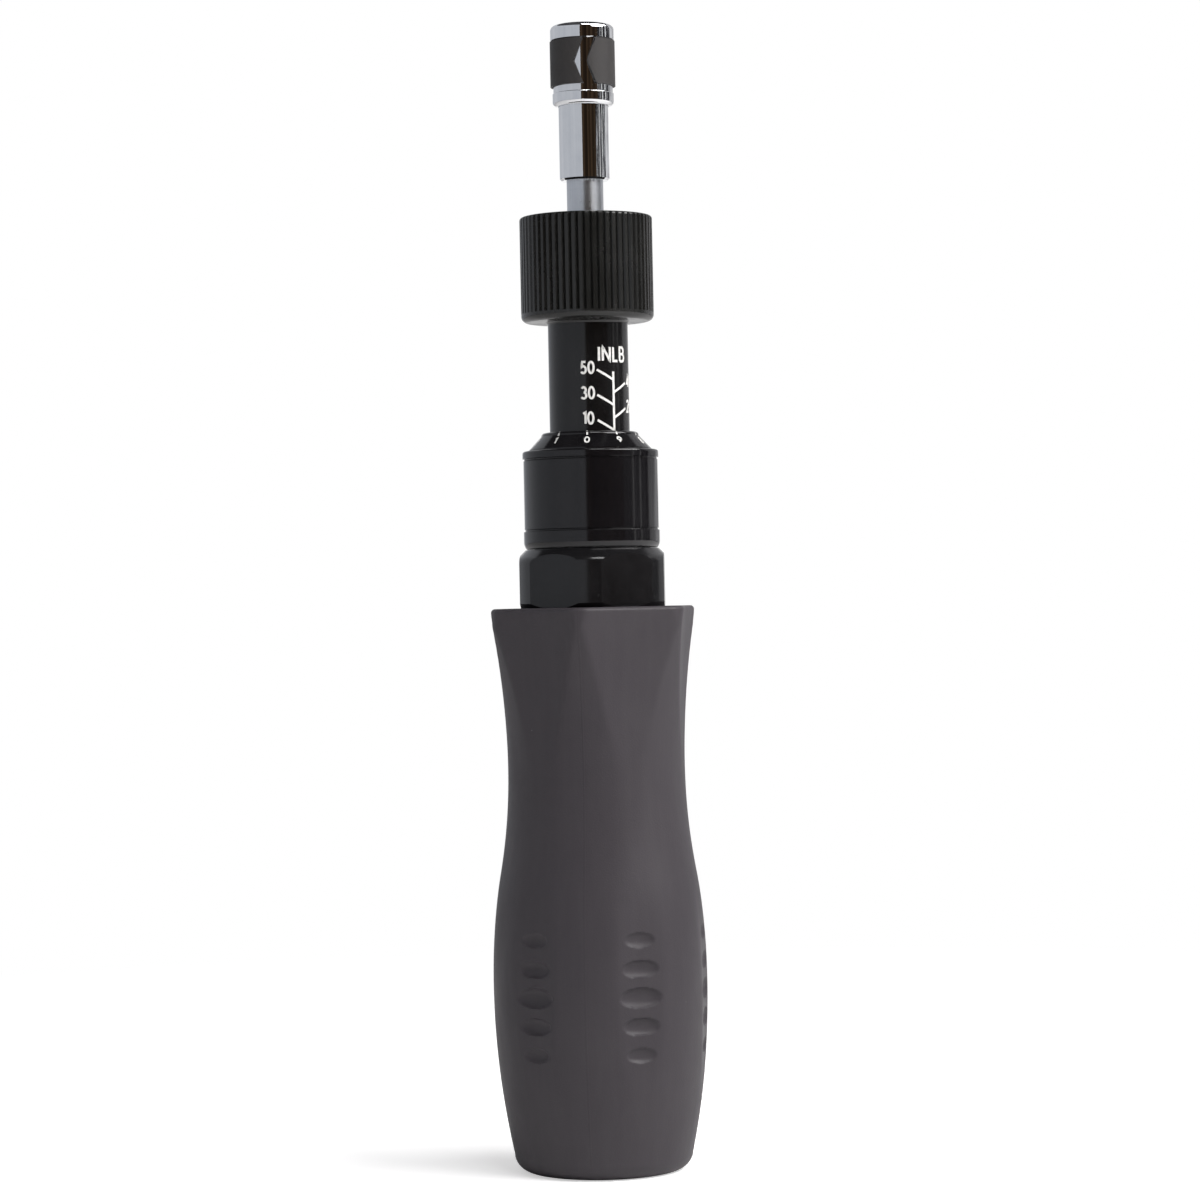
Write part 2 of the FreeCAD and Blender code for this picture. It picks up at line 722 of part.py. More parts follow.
def make_lock_ring():
    """The sliding ring whose inner land holds the shoes, a bead at each end of its plain cylinder."""
    body = new_body("lock_ring")
    bead = "(ring_radius + ring_bead)"
    slot = "(ring_radius - ring_groove)"
    bead_low = f"({RING_BOTTOM} + low_bead_round)"
    bead_top = f"({RING_BOTTOM} + low_bead_length)"
    upper_bead_low = f"({RING_TOP} - high_bead_length)"
    turn(body, "ring_form", [
        ("guide_radius + running_gap", RING_BOTTOM),
        (f"{bead} - ring_bead * 3", RING_BOTTOM),
        (bead, bead_low, "low_bead_round * 2"),
        (bead, bead_top),
        (slot, f"{bead_top} + ring_groove"),
        (slot, f"{bead_top} + ring_groove * 2"),
        ("ring_radius", f"{bead_top} + ring_groove * 3"),
        ("ring_radius", f"{upper_bead_low} - ring_groove * 3"),
        (slot, f"{upper_bead_low} - ring_groove * 2"),
        (slot, f"{upper_bead_low} - ring_groove"),
        (bead, upper_bead_low),
        (bead, f"{RING_TOP} - high_bead_round"),
        (f"{bead} - high_bead_round", RING_TOP, "high_bead_round"),
        (RING_BORE, RING_TOP),
        (RING_BORE, LAND_TOP),
        (LAND_RADIUS, LAND_TOP),
        (LAND_RADIUS, LAND_BOTTOM),
        ("guide_radius + running_gap", f"{LAND_BOTTOM} - face_gap"),
    ])
    return body


# ---------------------------------------------------------------------------- clutch and spindle


def make_spindle():
    """The spindle: a pivot, a flange with clutch detents, and a long round shaft to the bit holder."""
    body = new_body("spindle", "hex_angle")
    pivot_low = f"({TAIL_BOTTOM} + plug_thick / 6)"
    turn(body, "spindle_form", [
        ("0", pivot_low),
        ("pivot_radius - edge_break", pivot_low),
        ("pivot_radius", f"{pivot_low} + edge_break"),
        ("pivot_radius", FLANGE_BOTTOM),
        (FLANGE_RADIUS, FLANGE_BOTTOM),
        (FLANGE_RADIUS, f"{FLANGE_TOP} - edge_break"),
        (f"{FLANGE_RADIUS} - edge_break", FLANGE_TOP),
        ("spindle_radius", FLANGE_TOP),
        ("spindle_radius", f"{SPINDLE_TOP} - edge_break"),
        ("spindle_radius - edge_break", SPINDLE_TOP),
        ("0", SPINDLE_TOP),
    ])
    detent = sphere(
        body, "detent", "PartDesign::SubtractiveSphere",
        "clutch_ball_radius + running_gap", "bearing_pitch_radius", CLUTCH_MIDDLE)
    around(body, detent, "detent_count")
    return body


def make_pressure_plate():
    """The plate that the torque spring presses down, with a pocket for each clutch ball."""
    body = new_body("pressure_plate", "hex_angle")
    turn(body, "plate_form", [
        ("spindle_radius + loose_gap", PLATE_BOTTOM),
        (PLATE_RADIUS, PLATE_BOTTOM),
        (PLATE_RADIUS, PLATE_TOP),
        ("pilot_radius", PLATE_TOP),
        ("pilot_radius", f"{PLATE_TOP} + pilot_length"),
        ("spindle_radius + loose_gap", f"{PLATE_TOP} + pilot_length"),
    ])
    sketch = new_sketch(body, "key_channel_outline", "XY_Plane", PLATE_BOTTOM)
    circle(sketch, "chamber_radius", "0", "key_radius + running_gap")
    channel = cut(body, "key_channel", sketch, "plate_thick", away=True)
    around(body, channel, "key_count")

    sketch = new_sketch(body, "ball_pocket_outline", "XY_Plane", PLATE_BOTTOM)
    circle(sketch, "bearing_pitch_radius", "0", "clutch_ball_radius + running_gap")
    depth = f"{CLUTCH_MIDDLE} + clutch_ball_radius + press_gap - {PLATE_BOTTOM}"
    pocket = cut(body, "ball_pocket", sketch, depth, away=True)
    around(body, pocket, "clutch_balls")
    return body


# ---------------------------------------------------------------------------- adjuster


def make_spring_seat():
    """The sliding seat on top of the torque spring, with a recess for the barrel's spigot."""
    body = new_body("spring_seat")
    recess = f"({BARREL_BOTTOM} - loose_gap)"
    turn(body, "seat_form", [
        ("spindle_radius + loose_gap", f"{SEAT_BOTTOM} - seat_pilot_length"),
        ("pilot_radius", f"{SEAT_BOTTOM} - seat_pilot_length"),
        ("pilot_radius", SEAT_BOTTOM),
        ("seat_radius", SEAT_BOTTOM),
        ("seat_radius", SEAT_TOP),
        ("barrel_spigot_radius + running_gap", SEAT_TOP),
        ("barrel_spigot_radius + running_gap", recess),
        ("spindle_radius + loose_gap", recess),
    ])
    return body


def make_barrel():
    """The adjusting barrel: a threaded collar, the scale tube and the ribbed knob, turned in one."""
    body = new_body("barrel")
    bush_hole = "(bush_radius + press_gap)"
    turn(body, "barrel_form", [
        ("barrel_bore_radius", BARREL_BOTTOM),
        ("barrel_spigot_radius", BARREL_BOTTOM),
        ("barrel_spigot_radius", COLLAR_BOTTOM),
        ("collar_radius", COLLAR_BOTTOM),
        ("collar_radius", COLLAR_TOP),
        ("barrel_radius", COLLAR_TOP),
        ("barrel_radius", f"{KNOB_BOTTOM} - root_round"),
        ("barrel_radius + root_round", KNOB_BOTTOM, "-root_round"),
        ("knob_radius - knob_low_round", KNOB_BOTTOM),
        ("knob_radius", f"{KNOB_BOTTOM} + knob_low_round", "knob_low_round"),
        ("knob_radius", f"{KNOB_TOP} - knob_top_round"),
        ("knob_radius - knob_top_round", KNOB_TOP, "knob_top_round"),
        (bush_hole, KNOB_TOP),
        (bush_hole, BUSH_BOTTOM),
        ("barrel_bore_radius", BUSH_BOTTOM),
    ])
    rib_low = f"({KNOB_BOTTOM} + knob_low_round + rib_lead)"
    sketch = new_sketch(body, "rib_gap_outline", "XY_Plane", rib_low)
    outline(sketch, [
        ("knob_radius - rib_depth", "0"),
        ("knob_radius + rib_depth", "-rib_gap"),
        ("knob_radius + rib_depth", "rib_gap"),
    ])
    gap = cut(body, "rib_gap", sketch, f"{KNOB_TOP} - {rib_low}", away=True)
    around(body, gap, "rib_count")
    return body


# ---------------------------------------------------------------------------- bit holder


def make_bit_socket():
    """The hex socket pressed on the spindle, with a seat for its magnet and a hole for the locking ball."""
    body = new_body("bit_socket")
    hex_radius = "(hex_across_flats / 2)"
    corner = "(hex_across_flats / sqrt(3))"
    clip_root = "(socket_nose_radius - clip_groove_depth)"
    turn(body, "socket_form", [
        ("spindle_radius + press_gap", HOLDER_BOTTOM),
        ("socket_radius - socket_chamfer", HOLDER_BOTTOM),
        ("socket_radius", f"{HOLDER_BOTTOM} + socket_chamfer"),
        ("socket_radius", SHOULDER),
        ("socket_nose_radius", SHOULDER),
        ("socket_nose_radius", f"{CLIP_BOTTOM} - press_gap"),
        (clip_root, f"{CLIP_BOTTOM} - press_gap"),
        (clip_root, f"{CLIP_TOP} + press_gap"),
        ("socket_nose_radius", f"{CLIP_TOP} + press_gap"),
        ("socket_nose_radius", f"{SOCKET_TOP} - edge_break"),
        ("socket_nose_radius - edge_break", SOCKET_TOP),
        (f"{corner}", SOCKET_TOP),
        (hex_radius, f"{SOCKET_TOP} - hex_mouth"),
        (hex_radius, MAGNET_TOP),
        ("magnet_radius + press_gap", MAGNET_TOP),
        ("magnet_radius + press_gap", SPINDLE_TOP),
        ("spindle_radius + press_gap", SPINDLE_TOP),
    ])
    sketch = new_sketch(body, "hex_outline", "XY_Plane", SOCKET_TOP)
    outline(sketch, [
        (corner, "0"),
        (corner + " / 2", hex_radius),
        ("-" + corner + " / 2", hex_radius),
        ("-" + corner, "0"),
        ("-" + corner + " / 2", "-" + hex_radius),
        (corner + " / 2", "-" + hex_radius),
    ])
    cut(body, "hex", sketch, f"{SOCKET_TOP} - {MAGNET_TOP}")
    sketch = new_sketch(body, "ball_hole_outline", "XZ_Plane")
    circle(sketch, "0", BIT_BALL_HEIGHT, "bit_ball_radius + face_gap")
    cut(body, "ball_hole", sketch, "socket_radius")
    return body


def make_release_sleeve():
    """The spring-loaded sleeve: a bead and a neck below the band's seat, and a rounded cap above it."""
    body = new_body("release_sleeve")
    bead_top = f"({SLEEVE_BOTTOM} + bead_length)"
    bead_low_round = "(bead_length / 3)"
    bead_step = "(bead_radius - sleeve_neck_radius)"
    band_seat = "(band_radius - band_wall)"
    land = "(socket_nose_radius + face_gap)"
    turn(body, "sleeve_form", [
        (SLEEVE_BORE, SLEEVE_BOTTOM),
        (f"bead_radius - {bead_low_round}", SLEEVE_BOTTOM),
        ("bead_radius", f"{SLEEVE_BOTTOM} + {bead_low_round}", bead_low_round),
        ("bead_radius", f"{bead_top} - {bead_step}"),
        ("sleeve_neck_radius", bead_top, bead_step),
        ("sleeve_neck_radius", BAND_BOTTOM),
        (band_seat, BAND_BOTTOM),
        (band_seat, BAND_TOP),
        ("cap_radius - edge_break / 2", BAND_TOP),
        ("cap_radius", f"{BAND_TOP} + edge_break / 2"),
        ("cap_radius", f"{SLEEVE_TOP} - cap_round"),
        ("cap_radius - cap_round", SLEEVE_TOP, "cap_round"),
        (SLEEVE_SPRING_BORE, SLEEVE_TOP),
        (SLEEVE_SPRING_BORE, SLEEVE_LAND_TOP),
        (land, SLEEVE_LAND_TOP),
        (land, SLEEVE_LAND_BOTTOM),
        (SLEEVE_BORE, SLEEVE_LAND_BOTTOM),
    ])
    return body


def make_sleeve_band():
    """The soft band on the release sleeve, open at a chevron-shaped gap."""
    body = new_body("sleeve_band", "band_gap_angle")
    low = f"({BAND_BOTTOM} + face_gap)"
    high = f"({BAND_TOP} - face_gap)"
    inner = "(band_radius - band_wall + press_gap)"
    turn(body, "band_form", [(inner, low), ("band_radius", low), ("band_radius", high), (inner, high)])
    half = "(band_gap / 2)"
    half_reach = "(chevron_reach / 2)"
    middle = f"(({BAND_BOTTOM} + {BAND_TOP}) / 2)"
    lean = f"atan(2 * chevron_reach / ({high} - {low}))"
    bend = f"(chevron_round * sin({lean}))"
    bend_across = f"({half} - {half_reach} + {bend} * tan({lean}))"
    sketch = new_sketch(body, "chevron_outline", "XZ_Plane")
    outline(sketch, [
        (f"{half_reach} - {half}", low),
        (f"{half_reach} + {half}", low),
        (bend_across, f"{middle} - {bend}"),
        (bend_across, f"{middle} + {bend}", "-chevron_round"),
        (f"{half_reach} + {half}", high),
        (f"{half_reach} - {half}", high),
        (f"-{half_reach} - {half}", middle),
    ])
    cut(body, "chevron", sketch, "2 * band_radius", away=True)
    return body


# ---------------------------------------------------------------------------- the whole driver

PIECES = [
    make_grip(),
    make_housing(),
    make_index_cone(),
    make_lock_shoes(),
    make_end_plug(),
    ring("thrust_race_lower", "pivot_radius + running_gap", RACE_RADIUS, PLUG_TOP, LOW_RACE_TOP),
    ball_ring("thrust_balls", "bearing_ball_radius", "bearing_pitch_radius", BEARING_MIDDLE, "bearing_balls"),
    make_thrust_cage(),
    make_drive_pins(),
    make_lock_ring(),
    coil_spring("lock_spring", "lock_wire", f"(hub_radius + {RING_BORE}) / 2", LAND_TOP, CONE_BASE, "lock_turns"),
    ring("thrust_race_upper", "pivot_radius + press_gap", RACE_RADIUS, HIGH_RACE_BOTTOM, FLANGE_BOTTOM),
    make_spindle(),
    make_pressure_plate(),
    ball_ring(
        "clutch_ball_set", "clutch_ball_radius", "bearing_pitch_radius", CLUTCH_MIDDLE, "clutch_balls",
        "hex_angle"),
    coil_spring("torque_spring", "torque_wire", "torque_coil_radius", PLATE_TOP, SEAT_BOTTOM, "torque_turns"),
    make_spring_seat(),
    ring("thrust_washer", "barrel_spigot_radius + running_gap", "seat_radius", SEAT_TOP, WASHER_TOP),
    make_barrel(),
    ring("spindle_bush", SPINDLE_HOLE, "bush_radius", BUSH_BOTTOM, BUSH_TOP),
    make_bit_socket(),
    ring("bit_magnet", "0", "magnet_radius", SPINDLE_TOP, MAGNET_TOP),
    ball_ring(
        "bit_lock_ball", "bit_ball_radius", "socket_nose_radius - bit_ball_radius", BIT_BALL_HEIGHT, "1", "90"),
    make_release_sleeve(),
    make_sleeve_band(),
    coil_spring(
        "sleeve_spring", "sleeve_wire", f"(socket_nose_radius + {SLEEVE_SPRING_BORE}) / 2",
        SLEEVE_LAND_TOP, CLIP_BOTTOM, "sleeve_turns"),
    ring(
        "sleeve_retainer", "socket_nose_radius - clip_groove_depth + press_gap", "ring_clip_radius",
        CLIP_BOTTOM, CLIP_TOP),
]

document.recompute()
for item in document.Objects:
    if "Invalid" in item.State or "Error" in item.State:
        raise RuntimeError("%s failed: %s" % (item.Name, item.State))
for piece in PIECES:
    if piece.Shape.isNull() or not piece.Shape.isValid():
        raise RuntimeError("%s has no valid shape" % piece.Label)

os.makedirs("parts", exist_ok=True)
for piece in PIECES:
    piece.Shape.exportStep("parts/%s.step" % piece.Label)
    print("%-18s %2d solids %10.2f mm3" % (piece.Label, len(piece.Shape.Solids), piece.Shape.Volume))
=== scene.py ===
import bpy
import math
from mathutils import Matrix, Vector
from mathutils.bvhtree import BVHTree


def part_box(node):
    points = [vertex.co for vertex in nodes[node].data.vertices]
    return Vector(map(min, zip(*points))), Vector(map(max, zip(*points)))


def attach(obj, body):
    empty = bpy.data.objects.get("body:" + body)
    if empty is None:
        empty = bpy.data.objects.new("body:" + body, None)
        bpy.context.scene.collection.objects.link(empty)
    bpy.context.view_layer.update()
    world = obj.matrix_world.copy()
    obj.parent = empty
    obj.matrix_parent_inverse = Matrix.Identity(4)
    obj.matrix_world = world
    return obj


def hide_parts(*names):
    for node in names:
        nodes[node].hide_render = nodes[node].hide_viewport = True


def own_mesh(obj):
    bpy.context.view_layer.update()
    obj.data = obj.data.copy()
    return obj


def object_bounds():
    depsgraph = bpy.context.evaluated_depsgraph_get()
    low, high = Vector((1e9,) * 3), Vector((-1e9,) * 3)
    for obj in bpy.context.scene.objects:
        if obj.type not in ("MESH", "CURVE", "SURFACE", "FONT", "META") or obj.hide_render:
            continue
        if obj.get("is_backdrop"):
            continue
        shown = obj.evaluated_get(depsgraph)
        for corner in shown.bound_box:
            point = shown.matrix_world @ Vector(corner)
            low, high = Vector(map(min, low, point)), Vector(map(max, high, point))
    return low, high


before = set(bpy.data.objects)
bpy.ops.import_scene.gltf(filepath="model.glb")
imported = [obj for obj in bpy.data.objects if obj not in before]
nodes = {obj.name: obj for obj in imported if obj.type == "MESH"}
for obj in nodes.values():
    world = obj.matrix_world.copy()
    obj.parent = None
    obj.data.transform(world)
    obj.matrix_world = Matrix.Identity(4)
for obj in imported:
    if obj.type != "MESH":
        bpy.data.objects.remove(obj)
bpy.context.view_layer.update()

# The code counts in millimetres and the scene in metres.
# Angles about the axis are counted from -Y towards +X, as in the construction model.
MM = 0.001


def spot(angle, radius, height):
    """The point at that angle about the axis, radius and height."""
    turn = math.radians(angle)
    return Vector((radius * math.sin(turn), -radius * math.cos(turn), height)) * MM


# ---------------------------------------------------------------------------- materials


def add(tree, kind, inputs=None, **settings):
    """A node with its settings, and its inputs set or linked by name."""
    made = tree.nodes.new("ShaderNode" + kind)
    for key, value in settings.items():
        setattr(made, key, value)
    for key, value in (inputs or {}).items():
        if isinstance(value, bpy.types.NodeSocket):
            tree.links.new(value, made.inputs[key])
        else:
            made.inputs[key].default_value = value
    return made


class Finish:
    """A material on the Principled shader, with its pattern in millimetres on the object."""

    def __init__(self, name, metallic=0.0, specular=0.5):
        self.material = bpy.data.materials.new(name)
        self.material.use_nodes = True
        self.tree = self.material.node_tree
        self.tree.nodes.clear()
        self.shader = add(self.tree, "BsdfPrincipled")
        self.shader.inputs["Metallic"].default_value = metallic
        self.shader.inputs["Specular IOR Level"].default_value = specular
        output = add(self.tree, "OutputMaterial")
        self.tree.links.new(self.shader.outputs[0], output.inputs["Surface"])
        self.place = add(self.tree, "TexCoord").outputs["Object"]
        self.normal = None

    def stretched(self, across, along):
        """Places on the object in units of 1 / across and 1 / along millimetres."""
        scale = Vector((across, across, along)) / MM
        return add(self.tree, "VectorMath", {0: self.place, 1: scale}, operation="MULTIPLY").outputs[0]

    def noise(self, across, along, detail=3.0, rough=0.55, distortion=0.0):
        inputs = {
            "Vector": self.stretched(across, along),
            "Scale": 1.0,
            "Detail": detail,
            "Roughness": rough,
            "Distortion": distortion,
        }
        return add(self.tree, "TexNoise", inputs).outputs[0]

    def range(self, value, low, high, to_low, to_high):
        inputs = {"Value": value, "From Min": low, "From Max": high, "To Min": to_low, "To Max": to_high}
        return add(self.tree, "MapRange", inputs).outputs[0]

    def math(self, operation, first, second):
        return add(self.tree, "Math", {0: first, 1: second}, operation=operation).outputs[0]

    def specks(self, spacing, radius, share):
        """1 in small round specks, at about that share of the places on a grid of that spacing."""
        inputs = {"Vector": self.stretched(1 / spacing, 1 / spacing), "Scale": 1.0}
        cells = add(self.tree, "TexVoronoi", inputs)
        near = self.range(cells.outputs["Distance"], radius / spacing, 0.5 * radius / spacing, 0.0, 1.0)
        pick = add(self.tree, "SeparateColor", {0: cells.outputs["Color"]}).outputs[0]
        return self.math("MULTIPLY", near, self.math("LESS_THAN", pick, share))

    def colours(self, value, *steps):
        """A ramp through (place, colour) steps."""
        ramp = add(self.tree, "ValToRGB", {"Fac": value})
        elements = ramp.color_ramp.elements
        while len(elements) < len(steps):
            elements.new(0.5)
        for element, (place, colour) in zip(elements, steps):
            element.position = place
            element.color = (*colour, 1.0)
        return ramp.outputs[0]

    def mixed(self, share, first, second):
        return add(self.tree, "MixRGB", {"Fac": share, "Color1": first, "Color2": second}).outputs[0]

    def base(self, colour):
        self.tree.links.new(colour, self.shader.inputs["Base Color"])

    def roughness(self, value):
        self.tree.links.new(value, self.shader.inputs["Roughness"])

    def bump(self, height, distance):
        inputs = {"Height": height, "Distance": distance * MM, "Strength": 1.0}
        if self.normal:
            inputs["Normal"] = self.normal
        self.normal = add(self.tree, "Bump", inputs).outputs[0]
        self.tree.links.new(self.normal, self.shader.inputs["Normal"])


def moulded_rubber():
    """Satin grey elastomer: a fine moulded grain, cloudy gloss, faint flow streaks and dust."""
    made = Finish("grip_elastomer", specular=0.36)
    cloud = made.noise(0.045, 0.03, 4.0)
    flow = made.noise(0.5, 0.02, 3.0)
    tone = made.math("ADD", made.math("MULTIPLY", cloud, 0.7), made.math("MULTIPLY", flow, 0.3))
    colour = made.colours(
        tone, (0.3, (0.0400, 0.0345, 0.0405)), (0.5, (0.0450, 0.0390, 0.0450)), (0.7, (0.0510, 0.0450, 0.0505)))
    grain = made.noise(5.0, 5.0, 2.0)
    pale = made.colours(grain, (0.0, (0.062, 0.056, 0.062)), (1.0, (0.068, 0.061, 0.067)))
    colour = made.mixed(made.range(grain, 0.55, 0.9, 0.0, 0.5), colour, pale)
    dust = made.specks(6.0, 0.13, 0.35)
    white = made.colours(grain, (0.0, (0.16, 0.155, 0.155)), (1.0, (0.22, 0.21, 0.21)))
    made.base(made.mixed(made.math("MULTIPLY", dust, 0.6), colour, white))
    made.roughness(made.range(made.noise(0.12, 0.05, 5.0), 0.3, 0.7, 0.44, 0.56))
    made.bump(made.noise(3.0, 3.0, 3.0, 0.6), 0.026)
    made.bump(made.noise(0.18, 0.06, 2.0), 0.05)
    return made.material


def anodised(name, tint, gloss, marks):
    """Black anodised aluminium: turning marks round the axis under a semi-gloss film, with fine dust."""
    made = Finish(name)
    rings = made.noise(0.004, marks, 4.0, 0.7)
    cloud = made.noise(0.2, 0.12, 4.0)
    low, high = tint
    colour = made.colours(made.math("MULTIPLY", made.math("ADD", rings, cloud), 0.5), (0.3, low), (0.7, high))
    dust = made.specks(3.2, 0.09, 0.3)
    grey = made.colours(cloud, (0.0, (0.12, 0.12, 0.115)), (1.0, (0.2, 0.2, 0.19)))
    made.base(made.mixed(made.math("MULTIPLY", dust, 0.7), colour, grey))
    film = made.range(cloud, 0.3, 0.7, gloss * 0.85, gloss * 1.2)
    made.roughness(made.math("ADD", film, made.math("MULTIPLY", dust, 0.3)))
    made.bump(rings, 0.0012)
    made.bump(made.noise(1.6, 1.6, 2.0), 0.0015)
    return made.material


def metal(name, low, high, rough, streak, ring, relief):
    """Bare or plated metal, with drawn streaks along the axis and turned rings round it."""
    made = Finish(name, metallic=1.0)
    streaks = made.noise(streak, streak * 0.02, 4.0, 0.65)
    rings = made.noise(0.004, ring, 4.0, 0.65)
    cloud = made.noise(0.35, 0.2, 3.0)
    both = made.math("MULTIPLY", made.math("ADD", streaks, rings), 0.5)
    mixed = made.math("ADD", made.math("MULTIPLY", both, 0.7), made.math("MULTIPLY", cloud, 0.3))
    made.base(made.colours(mixed, (0.32, low), (0.68, high)))
    made.roughness(made.range(mixed, 0.3, 0.7, rough[0], rough[1]))
    made.bump(both, relief)
    made.bump(made.noise(2.4, 2.4, 2.0), relief * 0.6)
    return made.material


def chrome():
    """Bright chrome plate with a slight orange peel, a few fine rubs and a haze of handling."""
    made = Finish("chrome_plate", metallic=1.0)
    haze = made.noise(0.3, 0.2, 4.0)
    made.base(made.colours(haze, (0.3, (0.78, 0.79, 0.81)), (0.7, (0.86, 0.865, 0.875))))
    rubs = made.range(made.noise(0.8, 6.0, 3.0, 0.6, 0.4), 0.62, 0.75, 0.0, 0.07)
    made.roughness(made.math("ADD", made.range(haze, 0.35, 0.7, 0.03, 0.065), rubs))
    made.bump(made.noise(0.9, 0.9, 2.0, 0.5), 0.0016)
    made.bump(made.noise(3.0, 3.0, 2.0, 0.5), 0.0007)
    return made.material


def band_rubber():
    """Matte soft-touch band, warm dark grey, with a dry fine grain."""
    made = Finish("band_elastomer", specular=0.4)
    cloud = made.noise(0.4, 0.3, 4.0)
    grain = made.noise(7.0, 7.0, 3.0, 0.6)
    colour = made.colours(cloud, (0.3, (0.026, 0.024, 0.024)), (0.7, (0.036, 0.033, 0.032)))
    dry = made.colours(grain, (0.0, (0.06, 0.057, 0.055)), (1.0, (0.07, 0.066, 0.064)))
    made.base(made.mixed(made.range(grain, 0.5, 0.8, 0.0, 0.6), colour, dry))
    made.roughness(made.range(cloud, 0.3, 0.7, 0.52, 0.68))
    made.bump(grain, 0.012)
    return made.material


def scale_ink():
    """White pad-printed ink, a little thin in places."""
    made = Finish("scale_ink")
    thin = made.noise(2.2, 2.2, 4.0, 0.6)
    worn, plain, full = (0.58, 0.575, 0.55), (0.80, 0.795, 0.765), (0.86, 0.855, 0.83)
    made.base(made.colours(thin, (0.25, worn), (0.5, plain), (0.8, full)))
    made.roughness(made.range(thin, 0.3, 0.7, 0.42, 0.58))
    made.bump(made.noise(9.0, 9.0, 2.0), 0.004)
    return made.material


FINISHES = {
    "grip": moulded_rubber(),
    "body": anodised("body_anodise", ((0.0050, 0.0048, 0.0052), (0.0085, 0.0080, 0.0090)), 0.17, 3.0),
    "ring": anodised("ring_anodise", ((0.0045, 0.0040, 0.0048), (0.0075, 0.0068, 0.0078)), 0.12, 4.0),
    "barrel": anodised("barrel_anodise", ((0.0050, 0.0048, 0.0050), (0.0085, 0.0080, 0.0082)), 0.14, 2.5),
    "knob": anodised("knob_anodise", ((0.0085, 0.0085, 0.0078), (0.0130, 0.0130, 0.0120)), 0.24, 1.2),
    "zinc": metal("zinc_plate", (0.50, 0.52, 0.55), (0.66, 0.68, 0.71), (0.24, 0.36), 3.0, 0.6, 0.004),
    "chrome": chrome(),
    "band": band_rubber(),
    "steel": metal("ground_steel", (0.36, 0.36, 0.37), (0.52, 0.52, 0.52), (0.26, 0.42), 1.2, 2.6, 0.004),
    "polished": metal("polished_steel", (0.56, 0.565, 0.575), (0.66, 0.665, 0.67), (0.07, 0.14), 0.4, 0.8, 0.0008),
    "brass": metal("turned_brass", (0.62, 0.43, 0.18), (0.76, 0.56, 0.27), (0.18, 0.30), 0.8, 3.2, 0.004),
    "nickel": metal("magnet_nickel", (0.52, 0.50, 0.46), (0.66, 0.64, 0.60), (0.14, 0.28), 0.9, 0.9, 0.002),
    "spring": metal("spring_steel", (0.30, 0.30, 0.31), (0.44, 0.44, 0.44), (0.24, 0.36), 1.6, 1.6, 0.003),
    "ink": scale_ink(),
}


def dress(piece, finish):
    """The piece has that one finish all over."""
    material = FINISHES[finish]
    if not piece.data.materials:
        piece.data.materials.append(material)
    for slot in piece.material_slots:
        slot.material = material


CAD_FINISHES = {
    "body": ("housing",),
    "ring": ("lock_ring", "index_cone"),
    "barrel": ("barrel",),
    "zinc": ("spindle", "end_plug", "spring_seat"),
    "chrome": ("bit_socket", "release_sleeve"),
    "band": ("sleeve_band",),
    "steel": ("thrust_cage", "pressure_plate", "drive_pins", "sleeve_retainer"),
    "polished": (
        "thrust_race_lower", "thrust_race_upper", "thrust_balls", "clutch_ball_set", "thrust_washer",
        "bit_lock_ball"),
    "brass": ("lock_shoes", "spindle_bush"),
    "nickel": ("bit_magnet",),
}
for finish, names in CAD_FINISHES.items():
    for name in names:
        dress(nodes[name], finish)

# ---------------------------------------------------------------------------- mesh building


def make_piece(name, points, faces, finish, body, sharp):
    """A smooth-shaded mesh with sharp edges over that angle, riding on a body."""
    mesh = bpy.data.meshes.new(name)
    mesh.from_pydata(points, [], faces)
    mesh.validate()
    mesh.polygons.foreach_set("use_smooth", [True] * len(mesh.polygons))
    mesh.set_sharp_from_angle(angle=math.radians(sharp))
    piece = bpy.data.objects.new(name, mesh)
    bpy.context.scene.collection.objects.link(piece)
    dress(piece, finish)
    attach(piece, body)
    return piece


def skin(rings):
    """Quads between each ring and the next. All the rings have the same length."""
    count = len(rings[0])
    points = [point for ring in rings for point in ring]
    faces = []
    for row in range(len(rings) - 1):
        low = row * count
        high = low + count
        for place in range(count):
            ahead = (place + 1) % count
            faces.append((low + place, low + ahead, high + ahead, high + place))
    return points, faces


def capped(rings):
    """A closed solid: the skin over the rings, with a fan on the first and the last."""
    points, faces = skin(rings)
    count = len(rings[0])
    for ring, start, flip in ((rings[0], 0, True), (rings[-1], len(rings) * count - count, False)):
        middle = len(points)
        points.append(sum(ring, Vector()) / count)
        for place in range(count):
            ahead = (place + 1) % count
            face = (start + place, start + ahead, middle)
            faces.append(face[::-1] if flip else face)
    return points, faces


# ---------------------------------------------------------------------------- the grip

BELLY_RADIUS = 21.6
BELLY_HEIGHT = 38.5
WAIST_RADIUS = 17.77
WAIST_HEIGHT = 80.0
FLARE_RADIUS = 21.5
FLARE_HEIGHT = 108.6
GRIP_TOP = 112.3
BUTT_ARC = 168.4
BUTT_ROUND = 3.7
BUTT_FLAT = 14.18
INFLECTION = (BELLY_HEIGHT + WAIST_HEIGHT) / 2
BELLY_ARC = 113.38
FLARE_ARC = 111.51
FLAT_LOW = 86.0
FLAT_LOW_RADIUS = 17.55
FLAT_ARC = 187.87
RUN_OUT_ARC = 100.0
BELLY_FLAT_RADIUS = 21.0
BELLY_FLAT_ARC = 233.0
BELLY_FLAT_HEIGHT = 36.5
# The belly's flats are cut below this height, and the flare's above it.
FLATS_PART = 66.0
